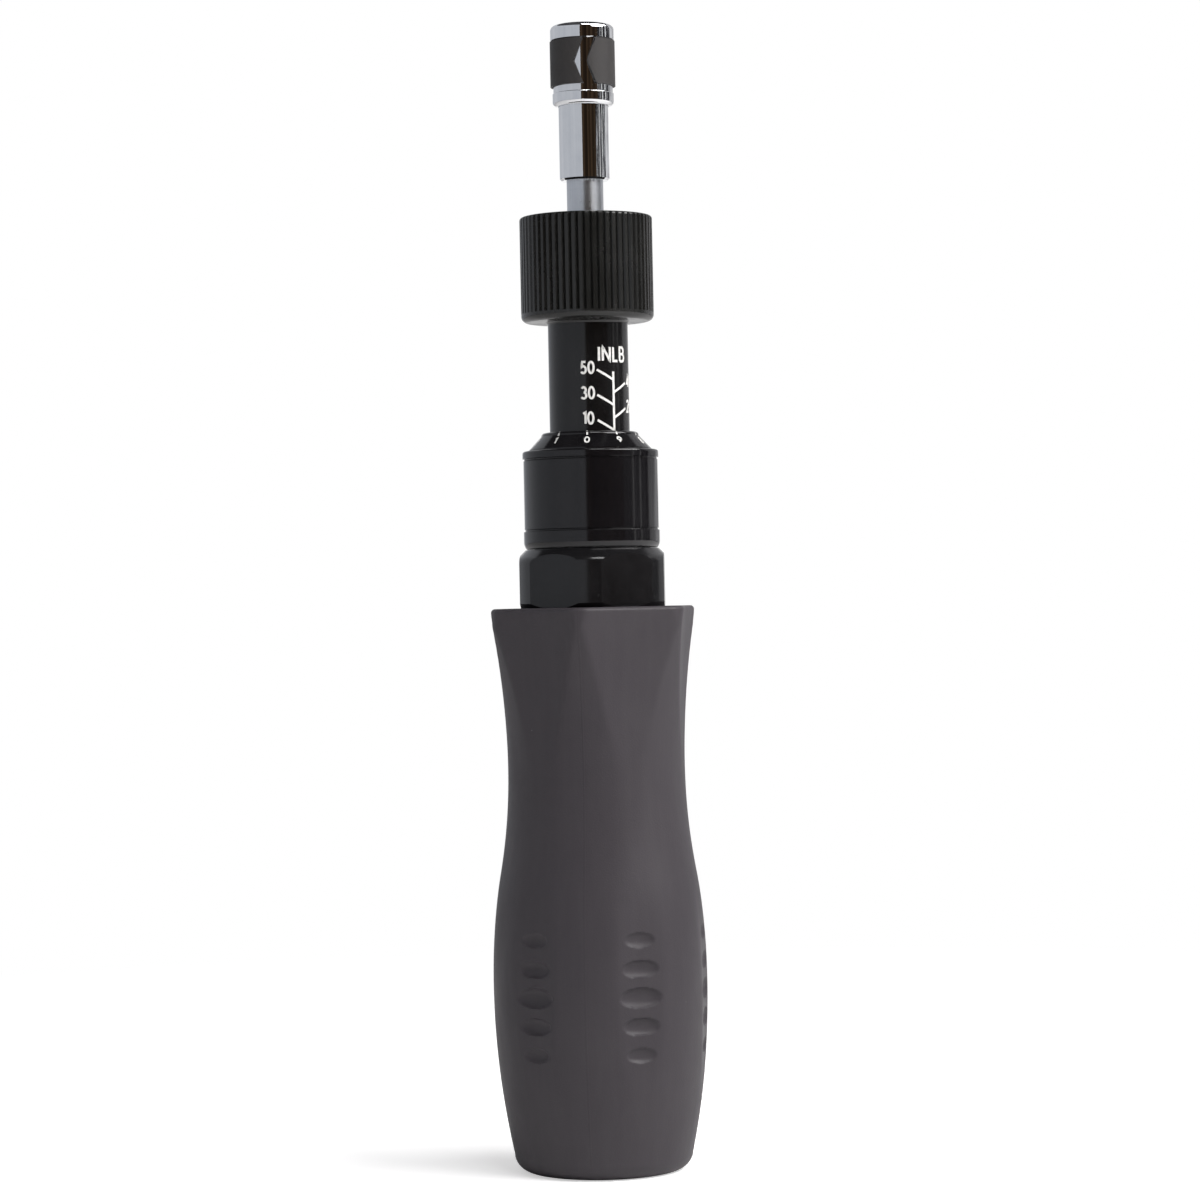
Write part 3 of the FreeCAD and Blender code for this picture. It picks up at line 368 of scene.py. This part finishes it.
# How far the edges between flats are rounded, and how much more about this height.
EDGE_ROUND = 0.16
EDGE_SOFTER = 0.5
EDGE_SOFT_HEIGHT = 62
EDGE_SOFT_REACH = 26
RIM_ROUND = 0.8
SEAM_ROOM = 0.085
SOCKET_RADIUS = 13.02
SOCKET_BOTTOM = 11.9
RIM_STEPS = 8
SEAM_RIDGE = 0.05
SEAM_HALF_ANGLE = 0.45
SEAM_STEP = 0.022
SEAM_STEP_ANGLE = 0.6
BUTT_ROUND_SWEEP = 77.8
BUTT_ROUND_STEPS = 10
# Radius and height of the gate nub, of the recess that it stands in, and of the flat round them.
BUTT_LEVELS = ((0.5, 0.12), (0.8, 0.16), (0.95, 0.4), (2.4, 0.4), (2.75, 0.0), (8.0, 0.0))
SOCKET_BREAK = 0.25
SOCKET_FLOOR = 4.0
# Where each oval's middle lies on the axis, and its width, height and depth.
OVALS = (
    (47.34, 6.2, 2.9, 0.62),
    (41.72, 7.6, 3.5, 0.80),
    (36.1, 8.8, 4.0, 0.95),
    (30.48, 7.6, 3.5, 0.80),
    (24.86, 6.2, 2.9, 0.62),
)
# Start, end and count of the mesh's rows up the grip, which are closest across the ovals.
GRIP_ROWS = ((3.4, 22.0, 21), (22.0, 50.2, 113), (50.2, GRIP_TOP - RIM_ROUND, 80))
SIDE_ANGLE = 60
OVAL_HALF_ANGLE = 13
STEPS_ON_OVAL = 32
STEPS_BETWEEN = 20


def sag(radius, off):
    """How far an arc has left its tangent, at that distance from the tangent point."""
    return radius - math.sqrt(radius * radius - off * off)


def turned_radius(height):
    """The radius of the turned form, before its flats and ovals are cut."""
    if height < BELLY_HEIGHT:
        return BELLY_RADIUS - sag(BUTT_ARC, BELLY_HEIGHT - height)
    if height < INFLECTION:
        return BELLY_RADIUS - sag(BELLY_ARC, height - BELLY_HEIGHT)
    if height < WAIST_HEIGHT:
        return WAIST_RADIUS + sag(BELLY_ARC, WAIST_HEIGHT - height)
    if height < FLARE_HEIGHT:
        return WAIST_RADIUS + sag(FLARE_ARC, height - WAIST_HEIGHT)
    return FLARE_RADIUS


def flat_distance(height):
    """How far from the axis the flats lie at that height."""
    if height > FLATS_PART:
        arc_radius = FLAT_ARC if height > FLAT_LOW else RUN_OUT_ARC
        return FLAT_LOW_RADIUS + sag(arc_radius, abs(height - FLAT_LOW))
    return BELLY_FLAT_RADIUS - sag(BELLY_FLAT_ARC, abs(height - BELLY_FLAT_HEIGHT))


def soft_min(first, second, blend):
    """The smaller of two lengths, with the corner between them rounded over that blend."""
    near = max(blend - abs(first - second), 0.0) / blend
    return min(first, second) - near * near * blend / 4


def oval_depth(across, height):
    """How deep the ovals are at that place on a flat."""
    for middle, wide, tall, depth in OVALS:
        reach = math.hypot(2 * across / wide, 2 * (height - middle) / tall)
        if reach < 1:
            return depth * math.sqrt(1 - reach * reach)
    return 0.0


def seam(angle):
    """The fine ridge where the mould halves meet, and the small step between them."""
    off = abs((angle + 90) % 180 - 90)
    ridge = SEAM_RIDGE * max(0.0, 1 - off / SEAM_HALF_ANGLE)
    step = SEAM_STEP if 0 < angle % 360 < 180 else 0.0
    return ridge + step * min(off / SEAM_STEP_ANGLE, 1.0)


def grip_radius(angle, height):
    """The radius of the grip's skin."""
    off = (angle % SIDE_ANGLE) - SIDE_ANGLE / 2
    lean = math.cos(math.radians(off))
    blend = EDGE_ROUND + EDGE_SOFTER * max(0.0, 1 - abs(height - EDGE_SOFT_HEIGHT) / EDGE_SOFT_REACH)
    radius = soft_min(turned_radius(height), flat_distance(height) / lean, blend)
    across = radius * math.sin(math.radians(off))
    return radius - oval_depth(across, height) / lean - SEAM_ROOM + seam(angle)


def spread(start, end, count):
    """That many values in equal steps from the start, without the end."""
    return [start + (end - start) * place / count for place in range(count)]


def make_grip():
    angles = []
    for middle in range(SIDE_ANGLE // 2, 360, SIDE_ANGLE):
        oval_end = middle + OVAL_HALF_ANGLE
        angles += spread(middle - OVAL_HALF_ANGLE, oval_end, STEPS_ON_OVAL)
        angles += spread(oval_end, middle + SIDE_ANGLE - OVAL_HALF_ANGLE, STEPS_BETWEEN)
    for line in (180, 360):
        angles += [line + side * SEAM_HALF_ANGLE for side in (-2, -1, 1, 2)]
    angles = sorted(set(round(angle % 360, 4) for angle in angles))

    rings = []

    def level(radius, height):
        rings.append([spot(angle, radius, height) for angle in angles])

    for radius, height in BUTT_LEVELS:
        level(radius, height)
    for step in range(BUTT_ROUND_STEPS + 1):
        tilt = math.radians(-90 + BUTT_ROUND_SWEEP * step / BUTT_ROUND_STEPS)
        level(BUTT_FLAT + BUTT_ROUND * math.cos(tilt), BUTT_ROUND + BUTT_ROUND * math.sin(tilt))
    for start, end, count in GRIP_ROWS:
        for height in spread(start, end, count):
            rings.append([spot(angle, grip_radius(angle, height), height) for angle in angles])
    rim = GRIP_TOP - RIM_ROUND
    for step in range(RIM_STEPS + 1):
        tilt = math.radians(90 * step / RIM_STEPS)
        height = rim + RIM_ROUND * math.sin(tilt)
        inset = RIM_ROUND * (1 - math.cos(tilt))
        rings.append([spot(angle, grip_radius(angle, rim) - inset, height) for angle in angles])
    level(SOCKET_RADIUS + SOCKET_BREAK, GRIP_TOP)
    level(SOCKET_RADIUS, GRIP_TOP - SOCKET_BREAK)
    level(SOCKET_RADIUS, SOCKET_BOTTOM)
    level(SOCKET_FLOOR, SOCKET_BOTTOM)
    points, faces = capped(rings)
    piece = make_piece("moulded_grip", points, faces, "grip", "handle", sharp=38.0)
    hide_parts("grip")


make_grip()

# ---------------------------------------------------------------------------- the springs

COIL_STEPS = 40
WIRE_SIDES = 14
WIRE_SHARE = 0.98
# The torque coil starts above the pressure plate by the plate's lift.
PLATE_LIFT = 0.52
# Name, node, body, wire, turns, joint, whether its top is the end that stays, and the share of its length
# that its joint leaves.
SPRINGS = (
    ("lock_coil", "lock_spring", "handle", 1.0, 3.5, "lock_slide", True, 0.762),
    ("torque_coil", "torque_spring", "handle", 2.6, 10.5, "seat_slide", False, 0.852),
    ("sleeve_coil", "sleeve_spring", "spindle", 0.5, 3.5, "sleeve_slide", True, 0.487),
)


def make_spring(name, node, body, wire, radius, low, high, turns):
    """A round-wire compression spring with closed ends."""
    wire_radius = wire / 2 * WIRE_SHARE
    low += wire / 2
    high -= wire / 2
    rings = []
    for step in range(int(turns * COIL_STEPS) + 1):
        turned = step / COIL_STEPS
        if turned < 1:
            height = low + wire * turned
        elif turned > turns - 1:
            height = high - wire * (turns - turned)
        else:
            height = low + wire + (high - low - 2 * wire) * (turned - 1) / (turns - 2)
        angle = 90 + 360 * turned
        ring = []
        for side in range(WIRE_SIDES):
            tilt = 2 * math.pi * side / WIRE_SIDES
            out, up = wire_radius * math.cos(tilt), wire_radius * math.sin(tilt)
            ring.append(spot(angle, radius + out, height + up))
        rings.append(ring)
    points, faces = capped(rings)
    piece = make_piece(name, points, faces, "spring", body, sharp=60.0)
    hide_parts(node)
    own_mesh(piece)


for name, node, body, wire, turns, joint, at_top, keep in SPRINGS:
    low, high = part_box(node)
    coil_radius = (high.x - low.x) / 2 / MM - wire / 2
    bottom = low.z / MM + (0.0 if at_top else PLATE_LIFT)
    top = high.z / MM
    make_spring(name, node, body, wire, coil_radius, bottom, top, turns)

# ---------------------------------------------------------------------------- printed scales

INK_PROUD = 0.014
INK_SUNK = 0.03
INK_STEP = 0.3


def arc(x, y, across, up, start, end, steps=16):
    """Points on an ellipse between two angles."""
    points = []
    for step in range(steps + 1):
        turn = math.radians(start + (end - start) * step / steps)
        points.append((x + across * math.cos(turn), y + up * math.sin(turn)))
    return points


# Each glyph is its width, and its strokes in heights of its centre line.
# A stroke that ends where it starts is closed.
GLYPHS = {
    "0": (0.46, [arc(0.23, 0.5, 0.23, 0.5, 90, 450, 32)]),
    "1": (0.20, [[(0.0, 0.88), (0.20, 1.0), (0.20, 0.0)]]),
    "2": (0.44, [arc(0.22, 0.75, 0.21, 0.25, 165, -28) + [(0.0, 0.0), (0.45, 0.0)]]),
    "3": (0.42, [arc(0.19, 0.76, 0.19, 0.24, 150, -90) + arc(0.19, 0.26, 0.23, 0.26, 89, -150)]),
    "4": (0.48, [[(0.36, 0.0), (0.36, 1.0), (0.0, 0.27), (0.50, 0.27)]]),
    "5": (0.42, [[(0.40, 1.0), (0.10, 1.0), (0.05, 0.54)] + arc(0.19, 0.31, 0.23, 0.31, 118, -145)]),
    "6": (0.44, [
        [(0.34, 1.0), (0.18, 0.72), (0.05, 0.46)], arc(0.22, 0.30, 0.22, 0.30, 90, 450, 28)]),
    "7": (0.42, [[(0.0, 1.0), (0.43, 1.0), (0.13, 0.0)]]),
    "8": (0.44, [arc(0.22, 0.76, 0.18, 0.24, 90, 450, 26), arc(0.22, 0.26, 0.22, 0.26, 90, 450, 28)]),
    "9": (0.44, [
        [(0.10, 0.0), (0.26, 0.28), (0.39, 0.54)], arc(0.22, 0.70, 0.22, 0.30, 90, 450, 28)]),
    "I": (0.0, [[(0.0, 0.0), (0.0, 1.0)]]),
    "N": (0.58, [[(0.0, 0.0), (0.0, 1.0), (0.58, 0.0), (0.58, 1.0)]]),
    "L": (0.36, [[(0.0, 1.0), (0.0, 0.0), (0.40, 0.0)]]),
    "B": (0.52, [
        [(0.0, 0.0), (0.0, 1.0), (0.25, 1.0)] + arc(0.25, 0.76, 0.20, 0.24, 89, -90) + [(0.0, 0.52)],
        [(0.2, 0.52)] + arc(0.27, 0.26, 0.25, 0.26, 89, -90) + [(0.0, 0.0)]]),
}


def lettering(text, height, gap):
    """The strokes of a line of text in millimetres from its lower left, and its width."""
    strokes = []
    across = 0.0
    for place, letter in enumerate(text):
        width, paths = GLYPHS[letter]
        for path in paths:
            strokes.append([(across + x * height, y * height) for x, y in path])
        across += width * height + gap
    return strokes, across - gap


def fine(path, step):
    """The path with points no further apart than the step."""
    points = [Vector(path[0])]
    for start, end in zip(path, path[1:]):
        start, end = Vector(start), Vector(end)
        parts = max(1, math.ceil((end - start).length / step))
        points += [start.lerp(end, part / parts) for part in range(1, parts + 1)]
    return points


class Ink:
    """Raised strokes of ink, laid on a surface by a function of (across, height, lift)."""

    def __init__(self, lay):
        self.lay = lay
        self.points = []
        self.faces = []

    def stroke(self, path, width):
        """A line of ink of that width along the path, mitred at its corners."""
        points = fine(path, INK_STEP)
        closed = (points[0] - points[-1]).length < 1e-6
        if closed:
            points.pop()
        start = len(self.points)
        count = len(points)
        for place, point in enumerate(points):
            before = points[place - 1] if place or closed else point
            after = points[(place + 1) % count] if place < count - 1 or closed else point
            into = (point - before).normalized() if point != before else (after - point).normalized()
            out = (after - point).normalized() if point != after else into
            along = (into + out).normalized() if (into + out).length > 0.2 else into
            mitre = 1 / max(along.dot(into), 0.5)
            side = Vector((-along.y, along.x)) * width / 2 * mitre
            for across, lift in ((side, INK_PROUD), (-side, INK_PROUD), (-side, -INK_SUNK), (side, -INK_SUNK)):
                corner = point + across
                self.points.append(self.lay(corner.x, corner.y, lift))
        links = count if closed else count - 1
        for place in range(links):
            low = start + 4 * place
            high = start + 4 * ((place + 1) % count)
            for side in range(4):
                ahead = (side + 1) % 4
                self.faces.append((low + side, high + side, high + ahead, low + ahead))
        if not closed:
            last = start + 4 * (count - 1)
            self.faces.append((start, start + 1, start + 2, start + 3))
            self.faces.append((last + 3, last + 2, last + 1, last))

    def piece(self, name, body):
        make_piece(name, self.points, self.faces, "ink", body, sharp=30.0)


BARREL_RADIUS = 8.0
INDEX_ANGLE = 45.6
LOWEST_MARK = 147.3
MARK_STEP = 2.5
INDEX_LINE = ((0.0, 145.6), (0.0, 158.95))
INDEX_WIDTH = 0.50
# A mark runs out from the index line and up from its height.
MARK_NEAR = (0.12, 0.07)
MARK_FAR = (3.62, 1.98)
MARK_WIDTH = 0.46
# The height of the letters and the gap between them.
NUMBER_SIZE = (2.22, 0.52)
UNIT_SIZE = (2.72, 0.80)
NUMBER_WIDTH = 0.44
UNIT_WIDTH = 0.50
NUMBER_RISE = 1.32
LEFT_NUMBERS = -5.48
RIGHT_NUMBERS = 4.35
UNIT_ASIDE = 0.08
UNIT_HEIGHT = 161.05
DEGREE = 180 / math.pi


def on_barrel(across, height, lift):
    """Across is an arc length on the barrel from the index line."""
    return spot(INDEX_ANGLE + across / BARREL_RADIUS * DEGREE, BARREL_RADIUS + lift, height)


def make_barrel_scale():
    ink = Ink(on_barrel)
    ink.stroke(INDEX_LINE, INDEX_WIDTH)
    for place, number in enumerate(("10", "20", "30", "40", "50")):
        height = LOWEST_MARK + place * MARK_STEP
        side = 1 if place % 2 else -1
        ink.stroke([(side * out, height + rise) for out, rise in (MARK_NEAR, MARK_FAR)], MARK_WIDTH)
        strokes, width = lettering(number, *NUMBER_SIZE)
        left = LEFT_NUMBERS - width / 2 if side < 0 else RIGHT_NUMBERS
        for stroke in strokes:
            ink.stroke([(left + x, height + NUMBER_RISE + y) for x, y in stroke], NUMBER_WIDTH)
    strokes, width = lettering("INLB", *UNIT_SIZE)
    for stroke in strokes:
        ink.stroke([(x - width / 2 + UNIT_ASIDE, UNIT_HEIGHT + y) for x, y in stroke], UNIT_WIDTH)
    ink.piece("barrel_scale", "barrel")


CONE_RADIUS = 10.7
ZERO_ANGLE = 5.0
CONE_STEP = 36.0
CONE_MARK = ((0.0, 146.35), (0.0, 147.12))
CONE_MARK_WIDTH = 0.36
CONE_DIGIT_WIDTH = 0.30
CONE_DIGIT_BOTTOM = 144.85
# The cone leans, so a digit is drawn wider than its height on the axis.
CONE_DIGIT_SPREAD = 1.9
# A radius outside every node, where the search for a surface starts.
OUTSIDE_RADIUS = 30.0


def surface_of(node):
    """Finds the outside of a turned node at an angle and height."""
    mesh = nodes[node].data
    corners = [vertex.co.copy() for vertex in mesh.vertices]
    tree = BVHTree.FromPolygons(corners, [tuple(face.vertices) for face in mesh.polygons])

    def find(angle, height):
        outside = spot(angle, OUTSIDE_RADIUS, height)
        inward = (Vector((0, 0, height * MM)) - outside).normalized()
        hit, normal, _, _ = tree.ray_cast(outside, inward)
        return hit, normal

    return find


def make_cone_numbers():
    find = surface_of("index_cone")
    for digit in range(10):
        middle = ZERO_ANGLE - CONE_STEP * digit

        def on_cone(across, height, lift):
            hit, normal = find(middle + across / CONE_RADIUS * DEGREE, height)
            return hit + normal * lift * MM

        ink = Ink(on_cone)
        ink.stroke(CONE_MARK, CONE_MARK_WIDTH)
        strokes, width = lettering(str(digit), 1.0, 0.0)
        for stroke in strokes:
            path = [((x - width / 2) * CONE_DIGIT_SPREAD, CONE_DIGIT_BOTTOM + y) for x, y in stroke]
            ink.stroke(path, CONE_DIGIT_WIDTH)
        ink.piece("cone_number_%d" % digit, "handle")


make_barrel_scale()
make_cone_numbers()

# The knob's faces are those outside its inner radius, from this far below the spindle's bush.
KNOB_BELOW_BUSH = 14.0
KNOB_INNER = 8.05


def dress_knob():
    """The barrel's node gets the knob's finish on the faces of the ribbed knob."""
    mesh = nodes["barrel"].data
    mesh.materials.append(FINISHES["knob"])
    knob_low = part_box("spindle_bush")[0].z - KNOB_BELOW_BUSH * MM
    for face in mesh.polygons:
        middle = face.center
        if middle.z > knob_low and math.hypot(middle.x, middle.y) > KNOB_INNER * MM:
            face.material_index = len(mesh.materials) - 1


dress_knob()

# ---------------------------------------------------------------------------- studio

CAMERA_ANGLE = 8.0
CAMERA_DISTANCE = 720.0
CAMERA_HEIGHT = 113.7
CAMERA_ASIDE = 1.36
CAMERA_ROLL = -1.146
CAMERA_LENS = 108.0


def towards(angle):
    """The level direction at that angle about the axis."""
    return spot(angle, 1.0, 0.0).normalized()


def make_camera():
    data = bpy.data.cameras.new("camera")
    data.lens = CAMERA_LENS
    data.sensor_width = 36.0
    data.clip_start = 0.05
    data.clip_end = 50.0
    camera = bpy.data.objects.new("camera", data)
    bpy.context.scene.collection.objects.link(camera)
    back = towards(CAMERA_ANGLE)
    aside = towards(CAMERA_ANGLE + 90)
    camera.location = (back * CAMERA_DISTANCE + aside * CAMERA_ASIDE + Vector((0, 0, CAMERA_HEIGHT))) * MM
    turn = (-back).to_track_quat("-Z", "Y").to_matrix()
    roll = math.radians(CAMERA_ROLL)
    camera.rotation_mode = "QUATERNION"
    camera.rotation_quaternion = (turn @ Matrix.Rotation(roll, 3, "Z")).to_quaternion()
    bpy.context.scene.camera = camera


def make_softbox(name, angle, rise, wide, tall, power, colour):
    """An area lamp at that angle from the camera's azimuth, aimed at the middle of the driver."""
    data = bpy.data.lights.new(name, "AREA")
    data.shape = "RECTANGLE"
    data.size = wide
    data.size_y = tall
    data.energy = power
    data.color = colour
    lamp = bpy.data.objects.new(name, data)
    bpy.context.scene.collection.objects.link(lamp)
    level = math.radians(rise)
    middle = Vector((0, 0, LAMP_TARGET))
    away = towards(CAMERA_ANGLE + angle) * math.cos(level) + Vector((0, 0, math.sin(level)))
    lamp.location = middle + away * LAMP_DISTANCE
    lamp.rotation_mode = "QUATERNION"
    lamp.rotation_quaternion = (-away).to_track_quat("-Z", "Y")
    lamp.visible_camera = False


def stage_object(name, points, faces, material):
    """A mesh of the studio, which isn't part of the driver."""
    mesh = bpy.data.meshes.new(name)
    mesh.from_pydata(points, [], faces)
    mesh.materials.append(material)
    made = bpy.data.objects.new(name, mesh)
    bpy.context.scene.collection.objects.link(made)
    made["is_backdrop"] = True
    return made


def glow(name, low, high, across, along, start=0.35, end=0.65):
    """A wall of light that varies between two colours, seen in reflections."""
    material = bpy.data.materials.new(name)
    material.use_nodes = True
    tree = material.node_tree
    tree.nodes.clear()
    place = add(tree, "TexCoord").outputs["Object"]
    scale = Vector((across, across, along))
    scaled = add(tree, "VectorMath", {0: place, 1: scale}, operation="MULTIPLY").outputs[0]
    noise = add(tree, "TexNoise", {"Vector": scaled, "Scale": 1.0, "Detail": 3.0, "Roughness": 0.6}).outputs[0]
    share = add(tree, "MapRange", {"Value": noise, "From Min": start, "From Max": end}).outputs[0]
    inputs = {"Fac": share, "Color1": (*low, 1.0), "Color2": (*high, 1.0)}
    colour = add(tree, "MixRGB", inputs).outputs[0]
    emission = add(tree, "Emission", {"Color": colour, "Strength": 1.0})
    output = add(tree, "OutputMaterial")
    tree.links.new(emission.outputs[0], output.inputs["Surface"])
    return material


# The studio's own lengths are in metres.
WALL_RADIUS = 1.6
WALL_BOTTOM = -0.3
WALL_TOP = 1.5
FLOOR_RADIUS = 1.1
# The floor goes over into the white background between these distances from the axis.
FLOOR_FADE = (0.12, 0.45)
# Light that only the camera sees on the floor, and the world's light on the driver.
FLOOR_LIFT = 0.5
WORLD_FILL = 0.25
LAMP_DISTANCE = 1.2
LAMP_TARGET = 0.12
WHITE = (1, 1, 1)
# Name, angles from the camera's azimuth, dark and light colour, scale across and along, and the range of the
# noise that goes from one colour to the other.
WALLS = (
    ("room_left", -166, -8, (0.47, 0.49, 0.53), (0.56, 0.575, 0.61), 1.0, 0.8, 0.35, 0.65),
    ("room_front", -8, 58, (0.014, 0.009, 0.006), (0.062, 0.040, 0.024), 5.0, 0.3, 0.35, 0.65),
    ("room_right", 58, 116, (0.004, 0.004, 0.005), (0.95, 0.96, 1.0), 9.0, 90.0, 0.54, 0.66),
    ("room_far_right", 116, 166, (0.22, 0.22, 0.23), (0.80, 0.80, 0.82), 3.0, 50.0, 0.4, 0.6),
)
STRIPS = (78.0, 94.0)
STRIP_HALF_ANGLE = 0.8
# Radius, bottom and top of a strip.
STRIP_PLACE = (WALL_RADIUS - 0.05, 0.05, WALL_TOP - 0.1)
# Name, angle from the camera's azimuth, rise in degrees, width, height, power and colour.
LAMPS = (
    ("key", 62, 38, 0.8, 0.8, 14.0, (1.0, 0.985, 0.985)),
    ("top_front", 18, 58, 0.40, 0.35, 3.0, WHITE),
    ("rim", 96, 40, 0.35, 0.35, 3.0, WHITE),
)


def reflection_only(made):
    """Only reflections show it, so it neither lights nor shades the driver."""
    made.visible_camera = False
    made.visible_diffuse = False
    made.visible_shadow = False
    made.visible_transmission = False
    made.visible_volume_scatter = False


def make_wall(name, start, end, radius, low, high, material):
    """A curved wall round the driver between two angles from the camera's azimuth."""
    count = max(2, math.ceil((end - start) / 3))
    points = []
    for step in range(count + 1):
        side = towards(CAMERA_ANGLE + start + (end - start) * step / count) * radius
        points += [side + Vector((0, 0, low)), side + Vector((0, 0, high))]
    faces = [(2 * step, 2 * step + 2, 2 * step + 3, 2 * step + 1) for step in range(count)]
    reflection_only(stage_object(name, points, faces, material))


def make_ceiling():
    material = glow("room_above", (0.03, 0.03, 0.032), (0.08, 0.08, 0.085), 1.2, 1.2)
    height = Vector((0, 0, WALL_TOP))
    points = [towards(angle) * (WALL_RADIUS + 0.05) + height for angle in range(0, 360, 10)]
    reflection_only(stage_object("room_ceiling", points, [tuple(range(len(points)))], material))


def make_floor():
    """A pale floor that keeps the driver's soft shadow and goes over into the white background."""
    material = bpy.data.materials.new("floor")
    material.use_nodes = True
    tree = material.node_tree
    tree.nodes.clear()
    place = add(tree, "TexCoord").outputs["Object"]
    tone = add(tree, "TexNoise", {"Vector": place, "Scale": 40.0, "Detail": 2.0}).outputs[0]
    ramp = add(tree, "ValToRGB", {"Fac": tone})
    ramp.color_ramp.elements[0].color = (0.90, 0.90, 0.90, 1)
    ramp.color_ramp.elements[1].color = (0.93, 0.93, 0.93, 1)
    lit = add(tree, "BsdfDiffuse", {"Color": ramp.outputs[0]})
    white = add(tree, "Emission", {"Color": (1, 1, 1, 1), "Strength": 1.0})
    lift = add(tree, "Emission", {"Color": (1, 1, 1, 1), "Strength": FLOOR_LIFT})
    raised = add(tree, "AddShader")
    tree.links.new(lit.outputs[0], raised.inputs[0])
    tree.links.new(lift.outputs[0], raised.inputs[1])
    reach = add(tree, "VectorMath", {0: place}, operation="LENGTH").outputs["Value"]
    fade_start, fade_end = FLOOR_FADE
    far = add(tree, "MapRange", {"Value": reach, "From Min": fade_start, "From Max": fade_end}).outputs[0]
    seen = add(tree, "MixShader", {0: far})
    tree.links.new(raised.outputs[0], seen.inputs[1])
    tree.links.new(white.outputs[0], seen.inputs[2])
    rays = add(tree, "LightPath").outputs
    direct = add(tree, "MixShader", {0: rays["Is Camera Ray"]})
    tree.links.new(lit.outputs[0], direct.inputs[1])
    tree.links.new(seen.outputs[0], direct.inputs[2])
    output = add(tree, "OutputMaterial")
    tree.links.new(direct.outputs[0], output.inputs["Surface"])
    points = [towards(angle) * FLOOR_RADIUS for angle in range(0, 360, 5)]
    stage_object("floor", points, [tuple(range(len(points)))], material)


def make_world():
    """White where it is seen, directly or in gloss or glass, and a faint fill elsewhere."""
    world = bpy.data.worlds.new("studio")
    world.use_nodes = True
    tree = world.node_tree
    tree.nodes.clear()
    rays = add(tree, "LightPath").outputs
    shown = rays["Is Camera Ray"]
    for kind in ("Is Glossy Ray", "Is Transmission Ray"):
        shown = add(tree, "Math", {0: shown, 1: rays[kind]}, operation="MAXIMUM").outputs[0]
    fill = add(tree, "Background", {"Color": (1.0, 0.98, 1.0, 1), "Strength": WORLD_FILL})
    white = add(tree, "Background", {"Color": (1, 1, 1, 1), "Strength": 1.0})
    mixed = add(tree, "MixShader", {0: shown})
    tree.links.new(fill.outputs[0], mixed.inputs[1])
    tree.links.new(white.outputs[0], mixed.inputs[2])
    output = add(tree, "OutputWorld")
    tree.links.new(mixed.outputs[0], output.inputs["Surface"])
    bpy.context.scene.world = world


make_camera()
make_world()
make_floor()
make_ceiling()
for name, start, end, dark, light, across, along, low, high in WALLS:
    card = glow(name, dark, light, across, along, low, high)
    make_wall(name, start, end, WALL_RADIUS, WALL_BOTTOM, WALL_TOP, card)
for place, angle in enumerate(STRIPS):
    name = "strip_%d" % place
    card = glow(name, WHITE, (1.5, 1.5, 1.5), 2.0, 2.0)
    make_wall(name, angle - STRIP_HALF_ANGLE, angle + STRIP_HALF_ANGLE, *STRIP_PLACE, card)
for lamp in LAMPS:
    make_softbox(*lamp)

bpy.context.scene.view_settings.view_transform = "Standard"

low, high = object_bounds()
